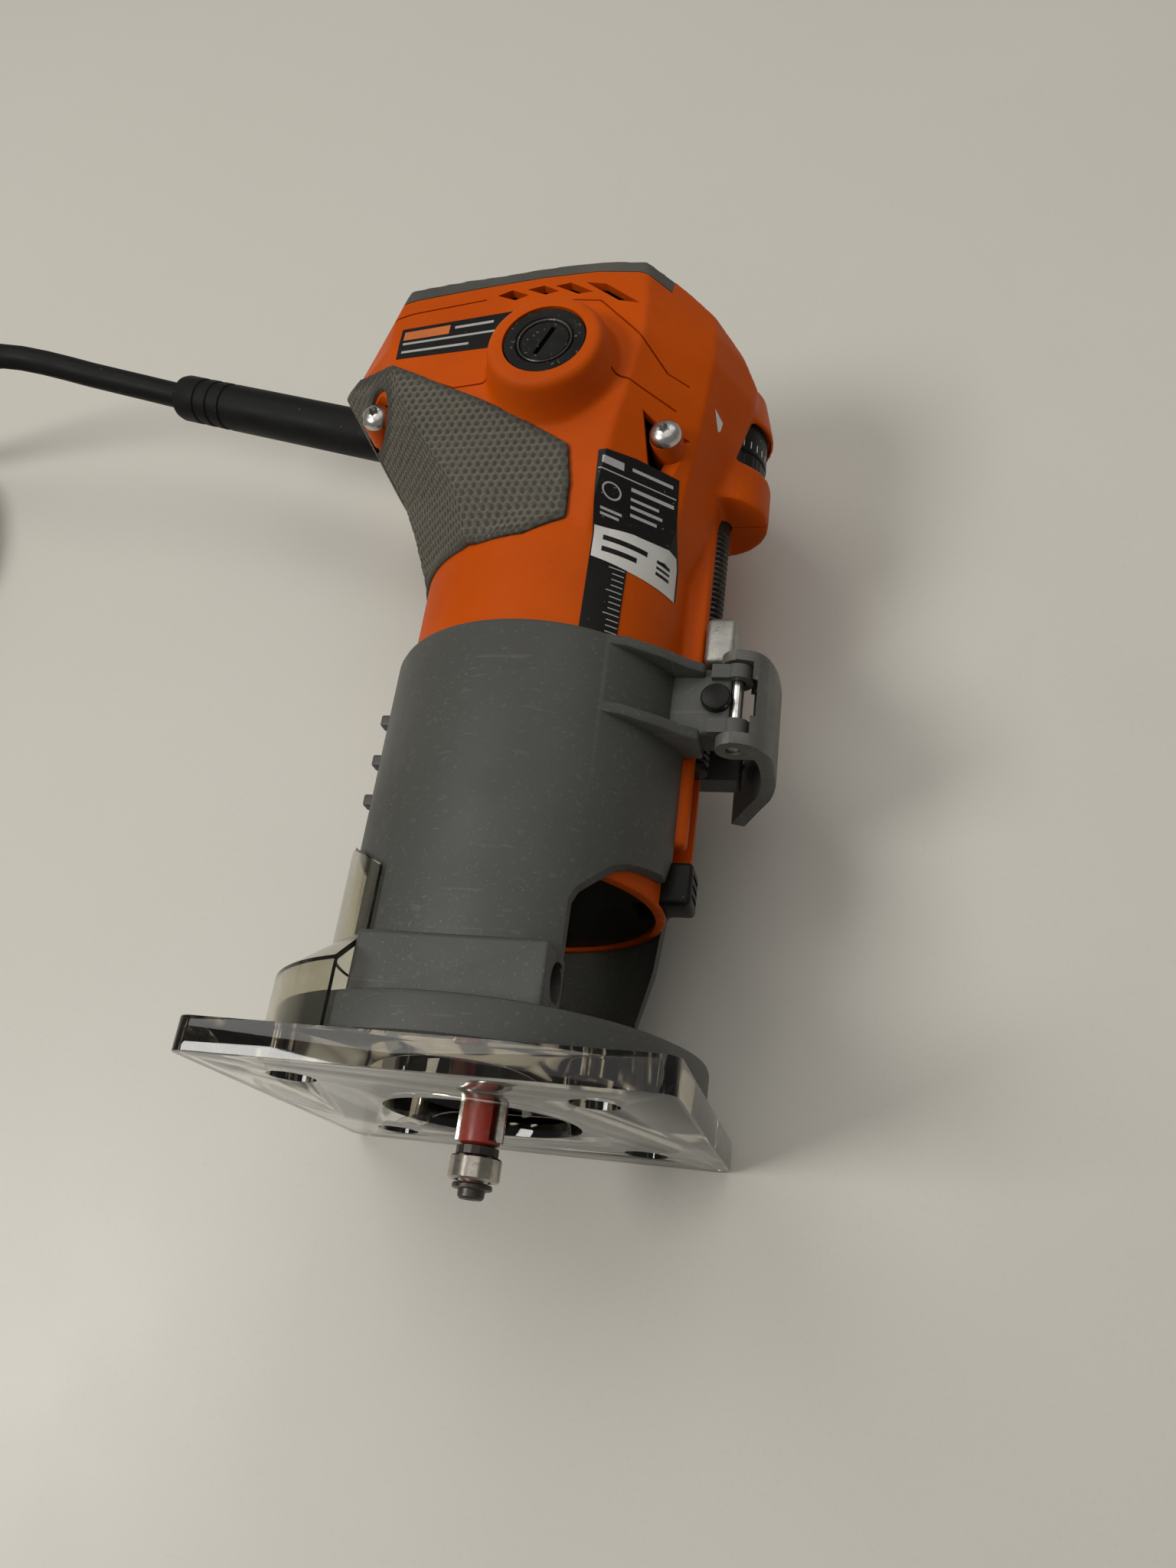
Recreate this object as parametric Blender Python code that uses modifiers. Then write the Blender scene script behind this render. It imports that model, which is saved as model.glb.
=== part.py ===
"""A corded trim router lying on one edge of its guide plate and on its rear brush boss.

Frame: metres, +Z up off the table, the spindle along Y with the bit toward -Y, and the
origin at the middle of the plate edge that rests on the table. Sizes below are in
millimetres and become metres where the meshes are made.
"""
import math

import bmesh
import bpy
from mathutils import Matrix, Vector

MM = 0.001
GAP = 0.3               # clearance between pieces that touch
ROUND = 36              # segments of a large turned piece
FINE = 16               # segments of a small turned piece
SHARP_ANGLE = 35.0      # degrees between faces that keeps an edge crisp
SOLVER = "MANIFOLD"     # the exact solver leaves open edges on the casting's long chain of cuts

# Guide plate
PLATE = 100.0
PLATE_T = 6.9
PLATE_CORNER = 4.0
PLATE_BORE = 44.2
HOLE_PITCH = 63.1
HOLE_D = 10.3
HOLE_DEPTH = 4.0
PLATE_SCREW_D = 4.0
PLATE_SCREW_HEAD_D = 8.4
PLATE_SCREW_LENGTH = 11.0

AXIS_Z = PLATE / 2
PLATE_FACE = PLATE_T / 2

# Motor housing
BARREL_R = 35.5
BARREL_WALL = 2.3
BARREL_BOTTOM = 45.5
NOSE_COVER = (46.5, 49.0)
HEAD_WALL = 2.4
HEAD_LOW = 126.0
CAP_THICK = 5.0
CAP_LEFT = -50.0
CAP_RIGHT = 27.0
BOSS_Y = 175.4
BOSS_R = 13.4
BOSS_FOOT_R = 17.0
BOSS_LIFT = 0.2         # the boss stops this far inside the guide plate's square
BOSS_REACH = AXIS_Z - BOSS_LIFT
HOLDER_R = 10.4          # brush holder's rim, inside the boss
RAIL_HALF = 7.7
RAIL_X = BARREL_R + 4.5
RAIL_BOTTOM = 60.0
RAIL_TOP = 156.0

# Case screws: x, y and the head's top over the spindle line
SCREW_PLACES = ((29.4, 158.6, 35.5), (-50.8, 171.3, 32.5))
SCREW_HEAD_R = 4.0
SCREW_R = 2.0
SCREW_LENGTH = 25.0

# Depth adjuster
ADJUST_X = BARREL_R + 3.7
ROD_R = 3.5
ROD_BOTTOM = 82.0
DIAL_R = 11.9
DIAL_BOTTOM = 165.5
DIAL_TOP = 183.7
LIP_R = DIAL_R + 1.4
LIP_BOTTOM = 155.0
SHOULDER_TOP = 197.0

# Base casting
SLEEVE_WALL = 2.6
SLEEVE_TOP = 102.3
FLANGE_R = 48.5
FLANGE_TOP = 12.4
SPLIT_HALF = 8.0
BLOCK_HALF = 20.6
BLOCK_TOP = 26.5
BLOCK_FACE = 39.2
GUIDE_BORE_R = 4.3
EAR_X = BARREL_R + 13.5
EAR_DEPTH = 8.0
EAR_BOTTOM = 84.3
BOLT_X = BARREL_R + 9.9
BOLT_Y = 93.5
BOLT_R = 2.4
BOLT_HEAD_R = 3.8
PIN_X = BARREL_R + 14.5
PIN_Z = AXIS_Z + 14.5
PIN_R = 1.5
PIN_LUG = 3.6           # length of each pin lug along the pin
LEVER_BOTTOM = 81.0
LEVER_TOP = 105.6
LEVER_WALL = 3.6
TAB_BOTTOM = 99.2
TAB_TOP = 120.0
SADDLE_BOTTOM = 107.0

# Motor inside
SHAFT_R = 5.0
SPINDLE_R = 8.0
SPINDLE_NOSE = 33.0
NUT_BOTTOM = 18.0
SHAFT_TOP = 196.0
LOWER_BEARING = (50.0, 59.0, 11.0)      # bottom, top, radius
UPPER_BEARING = (187.0, 194.0, 9.5)
CORE = (86.0, 132.0)
CORE_BORE = 19.3
ARMATURE_R = 18.5
COMMUTATOR = (166.0, 185.0, 11.4)
FAN = (64.0, 72.0, BARREL_R - 6.0)
BRUSH_HALF = 3.0
SWITCH_X = -20.0
SWITCH_Y = 206.0        # foot of the rocker
SWITCH_HALF = 7.6
ROCKER_Y = SWITCH_Y + 0.6       # hinge line of the rocker
ROCKER_LEAN = 7.0               # degrees from level, in the off position
SPEED_X = 10.0
SPEED_R = 8.4
LOCK_PIN_R = 2.3
BUTTON_HALF = 5.2
BUTTON_Y = 52.0
BUTTON_REACH = BARREL_R + 6.5

# Bit
SHANK_R = 3.175
SHANK_TOP = 31.0
COLLET_R = 6.0
BIT_TIP = -20.4
BEARING_Y = (-16.6, -11.6)
BIT_BEARING_R = 5.7
CUTTER_R = 5.6
CUTTER_TOP = 8.0

# Cord
CORD_D = 8.0
SLEEVE_D = 14.2
EXIT_START = (-60.0, 189.9, AXIS_Z)
EXIT_END = (-137.7, 212.0, AXIS_Z)
COIL_CENTRE = (-300.0, 172.0)
COIL_R = 48.0
COIL_SECTION = 13.5
TURN_PITCH = 9.4        # from one turn's centre to the next in the coil's section
PLUG_X = COIL_CENTRE[0] - COIL_R - TURN_PITCH
PLUG_Y = COIL_CENTRE[1] - 33.0
PLUG_LENGTH = 38.0
CORD_ROUTE = (
    (-152.6, 215.9, 51.2),
    (-172.0, 220.0, 54.0),
    (-188.5, 223.2, 57.3),
    (-204.9, 225.2, 59.6),
    (-221.0, 226.0, 57.2),
    (-237.0, 226.2, 50.5),
    (-250.0, 226.0, 42.5),
    (-261.0, 225.6, 34.5),
    (-271.0, 225.2, 28.0),
)

ORANGE = (0.80, 0.165, 0.012, 1)
CASTING = (0.085, 0.088, 0.09, 1)
RUBBER = (0.06, 0.058, 0.055, 1)
BLACK = (0.012, 0.012, 0.012, 1)
STEEL = (0.55, 0.55, 0.55, 1)
COPPER = (0.55, 0.24, 0.10, 1)
BRASS = (0.60, 0.42, 0.16, 1)
CLEAR = (0.78, 0.78, 0.72, 1)


def start_scene():
    """Remove what the file holds and make the two collections."""
    for obj in list(bpy.data.objects):
        bpy.data.objects.remove(obj)
    for name in ("trim_router", "cutters"):
        bpy.context.scene.collection.children.link(bpy.data.collections.new(name))


def material(name, colour, roughness, metallic):
    """One Principled material for one node."""
    mat = bpy.data.materials.new(name)
    mat.use_nodes = True
    shader = mat.node_tree.nodes["Principled BSDF"]
    shader.inputs["Base Color"].default_value = colour
    shader.inputs["Roughness"].default_value = roughness
    shader.inputs["Metallic"].default_value = metallic
    return mat


def piece(obj, name, colour, roughness=0.5, metallic=0.0):
    """Name a finished solid as a node of the router."""
    obj.name = name
    obj.data.name = name
    obj.data.materials.clear()
    obj.data.materials.append(material(name, colour, roughness, metallic))
    bpy.data.collections["trim_router"].objects.link(obj)
    return obj


def tool(obj):
    """Keep a solid as a hidden cutter or joiner."""
    bpy.data.collections["cutters"].objects.link(obj)
    obj.hide_render = True
    obj.display_type = "WIRE"
    return obj


def new_object(bm, name="shape"):
    """Object in metres from a bmesh in millimetres."""
    bmesh.ops.scale(bm, vec=(MM, MM, MM), verts=bm.verts)
    bmesh.ops.recalc_face_normals(bm, faces=bm.faces)
    mesh = bpy.data.meshes.new(name)
    bm.to_mesh(mesh)
    bm.free()
    shade(mesh)
    return bpy.data.objects.new(name, mesh)


def box(low, high):
    """Box between two opposite corners."""
    bm = bmesh.new()
    bmesh.ops.create_cube(bm, size=1)
    size = [b - a for a, b in zip(low, high)]
    middle = [(a + b) / 2 for a, b in zip(low, high)]
    bmesh.ops.scale(bm, vec=size, verts=bm.verts)
    bmesh.ops.translate(bm, vec=middle, verts=bm.verts)
    return new_object(bm)


def rod(start, end, radius, segments=FINE, end_radius=None):
    """Cylinder or cone between two points."""
    start, end = Vector(start), Vector(end)
    bm = bmesh.new()
    bmesh.ops.create_cone(
        bm, cap_ends=True, segments=segments, radius1=radius,
        radius2=radius if end_radius is None else end_radius, depth=(end - start).length)
    turn = Vector((0, 0, 1)).rotation_difference(end - start).to_matrix().to_4x4()
    bmesh.ops.transform(bm, matrix=Matrix.Translation((start + end) / 2) @ turn, verts=bm.verts)
    return new_object(bm)


def along_spindle(y_low, y_high, radius, x=0.0, z=AXIS_Z, segments=ROUND, end_radius=None):
    """Cylinder on a line parallel to the spindle."""
    return rod((x, y_low, z), (x, y_high, z), radius, segments, end_radius)


def turned(profile, centre=(0.0, 0.0, AXIS_Z), toward=(0, 1, 0), steps=ROUND):
    """Turned solid from (radius, distance) points, top to bottom down the outer side."""
    closed = profile[0][0] > 0
    mesh = bpy.data.meshes.new("profile")
    points = [(radius * MM, 0, distance * MM) for radius, distance in profile]
    edges = [(i, i + 1) for i in range(len(points) - 1)]
    if closed:
        edges.append((len(points) - 1, 0))
    mesh.from_pydata(points, edges, [])
    obj = bpy.data.objects.new("profile", mesh)
    screw = obj.modifiers.new("turn", "SCREW")
    screw.steps = steps
    screw.render_steps = steps
    screw.use_merge_vertices = True
    screw.merge_threshold = 0.00001
    turn = Vector((0, 0, 1)).rotation_difference(Vector(toward)).to_matrix().to_4x4()
    obj.matrix_world = Matrix.Translation(Vector(centre) * MM) @ turn
    return as_mesh(obj)


def ring(y_low, y_high, outer, inner, x=0.0, z=AXIS_Z, steps=ROUND):
    """Plain ring round a line parallel to the spindle."""
    profile = [(outer, y_high), (outer, y_low), (inner, y_low), (inner, y_high)]
    return turned(profile, (x, 0.0, z), steps=steps)


def prism(outline, low, high, along="Z"):
    """Flat outline extruded along Z (points are x, y) or along Y (points are x, z)."""
    curve = bpy.data.curves.new("outline", "CURVE")
    curve.dimensions = "2D"
    curve.fill_mode = "BOTH"
    curve.extrude = (high - low) / 2 * MM
    spline = curve.splines.new("POLY")
    spline.points.add(len(outline) - 1)
    for point, (first, second) in zip(spline.points, outline):
        point.co = (first * MM, second * MM, 0, 1)
    spline.use_cyclic_u = True
    middle = (low + high) / 2 * MM
    obj = bpy.data.objects.new("outline", curve)
    if along == "Z":
        obj.matrix_world = Matrix.Translation((0, 0, middle))
    else:
        obj.matrix_world = Matrix.Translation((0, middle, 0)) @ Matrix.Rotation(math.pi / 2, 4, "X")
    return as_mesh(obj)


def shade(mesh):
    """Smooth round faces with crisp edges between them."""
    mesh.shade_smooth()
    mesh.set_sharp_from_angle(angle=math.radians(SHARP_ANGLE))


def as_mesh(obj):
    """Closed mesh object from a curve or from an object with modifiers."""
    bpy.context.scene.collection.objects.link(obj)
    bpy.context.view_layer.update()
    evaluated = obj.evaluated_get(bpy.context.evaluated_depsgraph_get())
    mesh = bpy.data.meshes.new_from_object(evaluated)
    bm = bmesh.new()
    bm.from_mesh(mesh)
    bmesh.ops.remove_doubles(bm, verts=bm.verts, dist=0.000001)
    bmesh.ops.recalc_face_normals(bm, faces=bm.faces)
    bm.to_mesh(mesh)
    bm.free()
    shade(mesh)
    solid = bpy.data.objects.new("solid", mesh)
    solid.matrix_world = obj.matrix_world
    bpy.data.objects.remove(obj)
    return solid


def tube(points, diameter, resolution=2):
    """Round bar along a list of points."""
    curve = bpy.data.curves.new("tube", "CURVE")
    curve.dimensions = "3D"
    curve.bevel_depth = diameter / 2 * MM
    curve.bevel_resolution = resolution
    curve.use_fill_caps = True
    spline = curve.splines.new("POLY")
    spline.points.add(len(points) - 1)
    for point, place in zip(spline.points, points):
        point.co = (place[0] * MM, place[1] * MM, place[2] * MM, 1)
    return as_mesh(bpy.data.objects.new("tube", curve))


def loft(sections):
    """Skin over rings of (x, y, z) points that all have the same count."""
    bm = bmesh.new()
    rings = [[bm.verts.new(point) for point in section] for section in sections]
    for lower, upper in zip(rings, rings[1:]):
        for i, vert in enumerate(lower):
            j = (i + 1) % len(lower)
            bm.faces.new((vert, lower[j], upper[j]))
            bm.faces.new((vert, upper[j], upper[i]))
    bm.faces.new(rings[0])
    bm.faces.new(rings[-1])
    return new_object(bm)


def combine(obj, operation, others):
    """Add one Boolean modifier for each other solid."""
    for other in others:
        modifier = obj.modifiers.new(operation.lower(), "BOOLEAN")
        modifier.operation = operation
        modifier.solver = SOLVER
        modifier.object = tool(other)
    return obj


def cut(obj, *others):
    """Take the other solids away."""
    return combine(obj, "DIFFERENCE", others)


def join(obj, *others):
    """Add the other solids."""
    return combine(obj, "UNION", others)


def keep(obj, *others):
    """Keep what lies inside the other solids."""
    return combine(obj, "INTERSECT", others)


def bevel(obj, width, segments=1):
    """Rounded or chamfered edges."""
    modifier = obj.modifiers.new("edge", "BEVEL")
    modifier.width = width * MM
    modifier.segments = segments
    modifier.limit_method = "ANGLE"
    modifier.angle_limit = math.radians(40)
    return obj


def smooth_route(points, per_step):
    """Points on a smooth curve through the route's own points."""
    padded = [points[0]] + list(points) + [points[-1]]
    route = []
    for i in range(1, len(padded) - 2):
        before, here, there, after = (Vector(p) for p in padded[i - 1:i + 3])
        for step in range(per_step):
            t = step / per_step
            route.append(0.5 * (2 * here + (there - before) * t
                                + (2 * before - 5 * here + 4 * there - after) * t ** 2
                                + (3 * here - before - 3 * there + after) * t ** 3))
    route.append(Vector(points[-1]))
    return route


# Head cross-sections: y, then right side (x, height), right facet, front face's right
# edge, front face height, front face's left edge, left side (x, height).
HEAD_SECTIONS = (
    (HEAD_LOW, 33.0, 8.0, 29.0, 19.0, 13.0, 32.0, -16.0, -32.0, 14.0),
    (140.0, 37.0, 10.0, 33.0, 22.0, 15.0, 36.5, -20.0, -36.5, 19.0),
    (150.0, 39.5, 11.0, 34.5, 23.5, 16.5, 38.0, -27.0, -41.0, 20.0),
    (160.0, 42.0, 12.0, 36.0, 25.0, 18.0, 39.5, -34.0, -47.0, 21.0),
    (170.0, 44.5, 12.5, 37.2, 26.5, 20.0, 40.2, -40.0, -54.0, 21.5),
    (186.0, 48.0, 12.0, 38.8, 28.0, 22.0, 40.5, -46.0, -65.0, 22.0),
    (196.0, 48.5, 11.5, 38.8, 27.5, 22.0, 40.0, -46.5, -63.0, 21.0),
    (206.0, 46.0, 11.0, 37.0, 26.5, 21.0, 39.0, -45.0, -60.0, 20.0),
    (218.0, 42.0, 10.0, 34.0, 25.0, 19.0, 37.0, -43.0, -56.0, 18.0),
)
# The head's domed end in plan: x, y from the left shoulder over the top to the right.
END_OUTLINE = (
    (-65.0, 196.0), (-58.0, 204.0), (-46.0, 208.0), (-25.0, 211.5), (-8.0, 214.0),
    (8.0, 215.0), (20.0, 213.5), (30.0, 209.0), (38.0, 203.5), (44.0, 199.0), (49.5, 190.0),
)


def head_ring(section, offset=0.0):
    """Ten-sided ring of one head cross-section, grown by an offset."""
    at, right, right_h, facet, facet_h, front_right, height, front_left, left, left_h = section
    half = [
        (right + offset, right_h),
        (facet + offset * 0.8, facet_h + offset * 0.6),
        (front_right + offset * 0.4, height + offset),
        (front_left - offset * 0.4, height + offset),
        (left - offset, left_h),
    ]
    outline = half + [(x, -h) for x, h in reversed(half)]
    return [(x, at, AXIS_Z + h) for x, h in outline]


def end_prism(inset=0.0, cap=False):
    """Head's outline in plan, pulled in by an inset; only the cap's stretch of it if asked."""
    points = [(x * (1 - inset / 60.0), y - inset) for x, y in END_OUTLINE]
    outline = [(-90.0, 100.0), (-90.0, points[0][1])] + points + [(90.0, points[-1][1]), (90.0, 100.0)]
    if cap:
        top = max(y for _, y in END_OUTLINE) + 5
        outline = [(CAP_LEFT, BOSS_Y), (CAP_LEFT, top), (CAP_RIGHT, top), (CAP_RIGHT, BOSS_Y)]
    return prism(outline, AXIS_Z - 60.0, AXIS_Z + 60.0)


def head_loft(offset=0.0):
    """Head volume grown by an offset, with its domed end."""
    solid = loft([head_ring(section, offset) for section in HEAD_SECTIONS])
    return keep(solid, end_prism(-offset))


def switch_well():
    """Well in the cap and the case that the rocker stands in."""
    half = SWITCH_HALF + 0.8
    return box((SWITCH_X - half, SWITCH_Y - 0.8, AXIS_Z - half), (SWITCH_X + half, SWITCH_Y + 20, AXIS_Z + half))


def speed_well():
    """Round well that the speed dial turns in."""
    return along_spindle(SWITCH_Y - 0.8, SWITCH_Y + 20, SPEED_R + 0.6, SPEED_X, segments=24)


def cap_region():
    """Band of the head's end that the rubber cap covers."""
    band = end_prism(cap=True)
    return cut(band, end_prism(CAP_THICK))


def housing_half(side):
    """One half of the clamshell: side +1 faces up, side -1 faces the table."""
    shell = along_spindle(BARREL_BOTTOM, 150.0, BARREL_R)
    boss_top = AXIS_Z + side * BOSS_REACH
    boss_foot = AXIS_Z + side * 34.0
    join(
        shell,
        head_loft(),
        rod((0, BOSS_Y, boss_foot), (0, BOSS_Y, boss_top), BOSS_FOOT_R, 28, BOSS_R),
        along_spindle(LIP_BOTTOM, DIAL_BOTTOM + 2, LIP_R, ADJUST_X, segments=24),
        along_spindle(DIAL_TOP - 1, SHOULDER_TOP, LIP_R, ADJUST_X, segments=24, end_radius=LIP_R - 3),
        box((BARREL_R - 8, RAIL_BOTTOM, AXIS_Z - RAIL_HALF), (RAIL_X, RAIL_TOP, AXIS_Z + RAIL_HALF)),
    )
    near = AXIS_Z + side * GAP / 2
    far = AXIS_Z + side * 60
    cut(
        shell,
        along_spindle(BARREL_BOTTOM - 1, 152.0, BARREL_R - BARREL_WALL),
        head_loft(-HEAD_WALL),
        cap_region(),
        switch_well(),
        speed_well(),
        along_spindle(DIAL_BOTTOM - GAP, DIAL_TOP + GAP, DIAL_R + 0.5, ADJUST_X, segments=24),
        along_spindle(140.0, DIAL_TOP + 6, ROD_R + GAP, ADJUST_X),
        box((BARREL_R - GAP, RAIL_BOTTOM - 1, AXIS_Z - ROD_R - 0.5),
            (RAIL_X + 1, LIP_BOTTOM + 1, AXIS_Z + ROD_R + 0.5)),
        rod((0, BOSS_Y, AXIS_Z + side * 30), (0, BOSS_Y, boss_top + side), HOLDER_R + GAP, 28),
        box((BARREL_R - 6, BUTTON_Y - BUTTON_HALF - GAP, AXIS_Z - BUTTON_HALF - GAP),
            (BARREL_R + 10, BUTTON_Y + BUTTON_HALF + GAP, AXIS_Z + BUTTON_HALF + GAP)),
        rod(EXIT_START, EXIT_END, SLEEVE_D / 2 + GAP),
    )
    for x, y, height in SCREW_PLACES:
        seat = AXIS_Z + side * (height - 3.5)
        cut(shell, rod((x, y, seat), (x, y, AXIS_Z + side * 46), SCREW_HEAD_R + 0.4),
            rod((x, y, AXIS_Z), (x, y, seat + side), SCREW_R + GAP))
    low, high = sorted((AXIS_Z + side * 3, AXIS_Z + side * 38))
    join(shell, box((-12.0, UPPER_BEARING[0], low), (12.0, UPPER_BEARING[1], high)))
    cut(shell, along_spindle(UPPER_BEARING[0] - 1, UPPER_BEARING[1] + 1, UPPER_BEARING[2] + GAP))
    keep(shell, box((-90, 0, min(near, far)), (90, 260, max(near, far))))
    return shell


def grip_skin(side):
    """Textured rubber skin over the housing's left side."""
    outline = (
        (-72.0, 193.0), (-51.0, 182.0), (-12.0, 163.0), (7.0, 151.5), (8.5, 141.0),
        (8.0, 132.5), (-2.0, 127.5), (-12.0, 126.8), (-72.0, 126.8),
    )
    skin = head_loft(1.3)
    low, high = sorted((AXIS_Z + side * GAP, AXIS_Z + side * 60))
    keep(skin, prism(outline, low, high))
    cut(
        skin,
        head_loft(2 * GAP),
        along_spindle(100.0, 152.0, BARREL_R + GAP),
        rod(EXIT_START, EXIT_END, SLEEVE_D / 2 + GAP),
    )
    for x, y, _ in SCREW_PLACES:
        cut(skin, rod((x, y, AXIS_Z), (x, y, AXIS_Z + side * 60), SCREW_HEAD_R + 1.2))
    return skin


def end_cap():
    """Rubber cap over the domed end, open over the switch and the dial."""
    solid = keep(head_loft(), end_prism(cap=True))
    return cut(solid, end_prism(CAP_THICK - GAP), switch_well(), speed_well())


def housing():
    """Clamshell, grips, end cap, nose cover and case screws."""
    for side, word in ((1, "front"), (-1, "rear")):
        piece(housing_half(side), "housing_" + word, ORANGE, 0.38)
        piece(grip_skin(side), "grip_" + word, RUBBER, 0.8)
    piece(end_cap(), "end_cap", RUBBER, 0.75)
    low, high, radius = LOWER_BEARING
    cover_low, cover_high = NOSE_COVER
    cover_r = BARREL_R - BARREL_WALL - GAP
    nose = [
        (radius + 3.2, high + 3), (radius + 3.2, cover_high), (cover_r, cover_high), (cover_r, cover_low),
        (SPINDLE_R + 2, cover_low), (SPINDLE_R + 2, low - GAP), (radius + GAP, low - GAP), (radius + GAP, high + 3),
    ]
    room = BUTTON_HALF + 2 * GAP
    cover = cut(turned(nose), box((BARREL_R - 7, cover_low - 1, AXIS_Z - room), (BARREL_R, cover_high + 1, AXIS_Z + room)))
    piece(cover, "nose_cover", BLACK, 0.5)
    for index, (x, y, height) in enumerate(SCREW_PLACES):
        head = [(0, 0), (2.6, -0.4), (SCREW_HEAD_R, -2.0), (SCREW_HEAD_R, -3.2), (SCREW_R, -3.2),
                (SCREW_R, -SCREW_LENGTH), (0, -SCREW_LENGTH)]
        screw = turned(head, (x, y, AXIS_Z + height), (0, 0, 1), FINE)
        piece(screw, f"case_screw_{index + 1}", STEEL, 0.25, 1.0)


def motor():
    """Field, brushes and the wiring inside the housing."""
    inner_r = BARREL_R - BARREL_WALL - GAP
    piece(ring(CORE[0], CORE[1], inner_r, CORE_BORE), "field_core", STEEL, 0.5, 0.8)
    coil_r = inner_r - 2.0
    coil_bore = CORE_BORE + 1.2
    piece(ring(CORE[0] - 11, CORE[0] - GAP, coil_r, coil_bore), "field_coil_lower", COPPER, 0.4, 0.6)
    piece(ring(CORE[1] + GAP, CORE[1] + 11, coil_r, coil_bore), "field_coil_upper", COPPER, 0.4, 0.6)
    for name, (low, high, radius), bore in (
            ("bearing_lower", LOWER_BEARING, SPINDLE_R - 2), ("bearing_upper", UPPER_BEARING, 4.0)):
        piece(ring(low, high, radius, bore + GAP, steps=24), name, STEEL, 0.25, 1.0)
    for side, word in ((1, "front"), (-1, "rear")):
        toward = (0, 0, side)
        centre = (0, BOSS_Y, AXIS_Z)
        top = BOSS_REACH - 0.4
        holder = turned([(HOLDER_R, top), (HOLDER_R, top - 5), (8.0, top - 5), (8.0, 14.0), (5.2, 14.0), (5.2, 41.0),
                         (7.1, 41.0), (7.1, top)], centre, toward, 28)
        piece(holder, "brush_holder_" + word, BLACK, 0.45)
        low, high = sorted((AXIS_Z + side * 11.8, AXIS_Z + side * 28.0))
        brush = box((-BRUSH_HALF, BOSS_Y - BRUSH_HALF, low), (BRUSH_HALF, BOSS_Y + BRUSH_HALF, high))
        piece(brush, "brush_" + word, BLACK, 0.6)
        turns = 5
        per_turn = 8
        spring = [(3.2 * math.cos(2 * math.pi * i / per_turn),
                   BOSS_Y + 3.2 * math.sin(2 * math.pi * i / per_turn),
                   AXIS_Z + side * (29.0 + 11.0 * i / (turns * per_turn)))
                  for i in range(turns * per_turn + 1)]
        piece(tube(spring, 0.8, 1), "brush_spring_" + word, STEEL, 0.3, 1.0)
        cap = rod((0, BOSS_Y, AXIS_Z + side * 41.3), (0, BOSS_Y, AXIS_Z + side * (top - 0.3)), 6.8, 24)
        slot_z = AXIS_Z + side * (top - 1.8)
        cut(cap, box((-0.7, BOSS_Y - 5.2, min(slot_z, slot_z + side * 3)),
                     (0.7, BOSS_Y + 5.2, max(slot_z, slot_z + side * 3))))
        piece(cap, "brush_cap_" + word, BLACK, 0.35)
    switch = box((SWITCH_X - SWITCH_HALF, 188.0, AXIS_Z - SWITCH_HALF),
                 (SWITCH_X + SWITCH_HALF, SWITCH_Y - GAP, AXIS_Z + SWITCH_HALF))
    piece(switch, "switch_body", BLACK, 0.5)
    board = box((-42.0, 163.0, AXIS_Z - 7.0), (-20.0, 183.0, AXIS_Z - 5.4))
    piece(board, "control_board", (0.02, 0.12, 0.05, 1), 0.5)


def rotor():
    """Shaft with everything that spins on it."""
    low, high, _ = LOWER_BEARING
    shaft = [
        (0, SHAFT_TOP), (4.0, SHAFT_TOP), (4.0, COMMUTATOR[0] - 8), (SHAFT_R, COMMUTATOR[0] - 8),
        (SHAFT_R, high + 3), (SPINDLE_R - 2, high + 3), (SPINDLE_R - 2, low - GAP), (SPINDLE_R, low - GAP),
        (SPINDLE_R, SPINDLE_NOSE), (0, SPINDLE_NOSE),
    ]
    piece(turned(shaft, steps=FINE), "spindle_shaft", STEEL, 0.3, 1.0)
    bore = SHAFT_R + GAP
    piece(ring(CORE[0], CORE[1], ARMATURE_R, bore), "armature_core", STEEL, 0.5, 0.8)
    piece(ring(CORE[0] - 8, CORE[0] - GAP, 15.5, bore, steps=24), "armature_coil_lower", COPPER, 0.4, 0.6)
    piece(ring(CORE[1] + GAP, CORE[1] + 8, 15.5, bore, steps=24), "armature_coil_upper", COPPER, 0.4, 0.6)
    piece(ring(COMMUTATOR[0], COMMUTATOR[1], COMMUTATOR[2], 4.0 + GAP, steps=24), "commutator", COPPER, 0.3, 0.9)
    fan = ring(FAN[0], FAN[0] + 1.6, FAN[2], bore)
    blades = 9
    hub = ring(FAN[0] + 0.8, FAN[1], 8.0, bore, steps=24)
    join(fan, hub)
    for index in range(blades):
        blade = box((7.2, FAN[0] + 0.8, AXIS_Z - 0.7), (FAN[2] - 1, FAN[1], AXIS_Z + 0.7))
        turn = Matrix.Rotation(2 * math.pi * index / blades, 4, "Y")
        centre = Matrix.Translation((0, 0, AXIS_Z * MM))
        blade.matrix_world = centre @ turn @ centre.inverted()
        join(fan, blade)
    piece(fan, "cooling_fan", BLACK, 0.5)
    nut = turned([(0, SPINDLE_NOSE - GAP), (9.9, SPINDLE_NOSE - GAP), (9.9, NUT_BOTTOM + 2.2), (8.2, NUT_BOTTOM), (0, NUT_BOTTOM)], steps=6)
    cut(nut, along_spindle(NUT_BOTTOM - 1, SPINDLE_NOSE + 1, COLLET_R + GAP, segments=FINE))
    piece(nut, "collet_nut", STEEL, 0.3, 1.0)
    collet = ring(NUT_BOTTOM - 0.8, SPINDLE_NOSE - 1, COLLET_R, SHANK_R + GAP, steps=FINE)
    piece(collet, "collet", STEEL, 0.3, 1.0)


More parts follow.
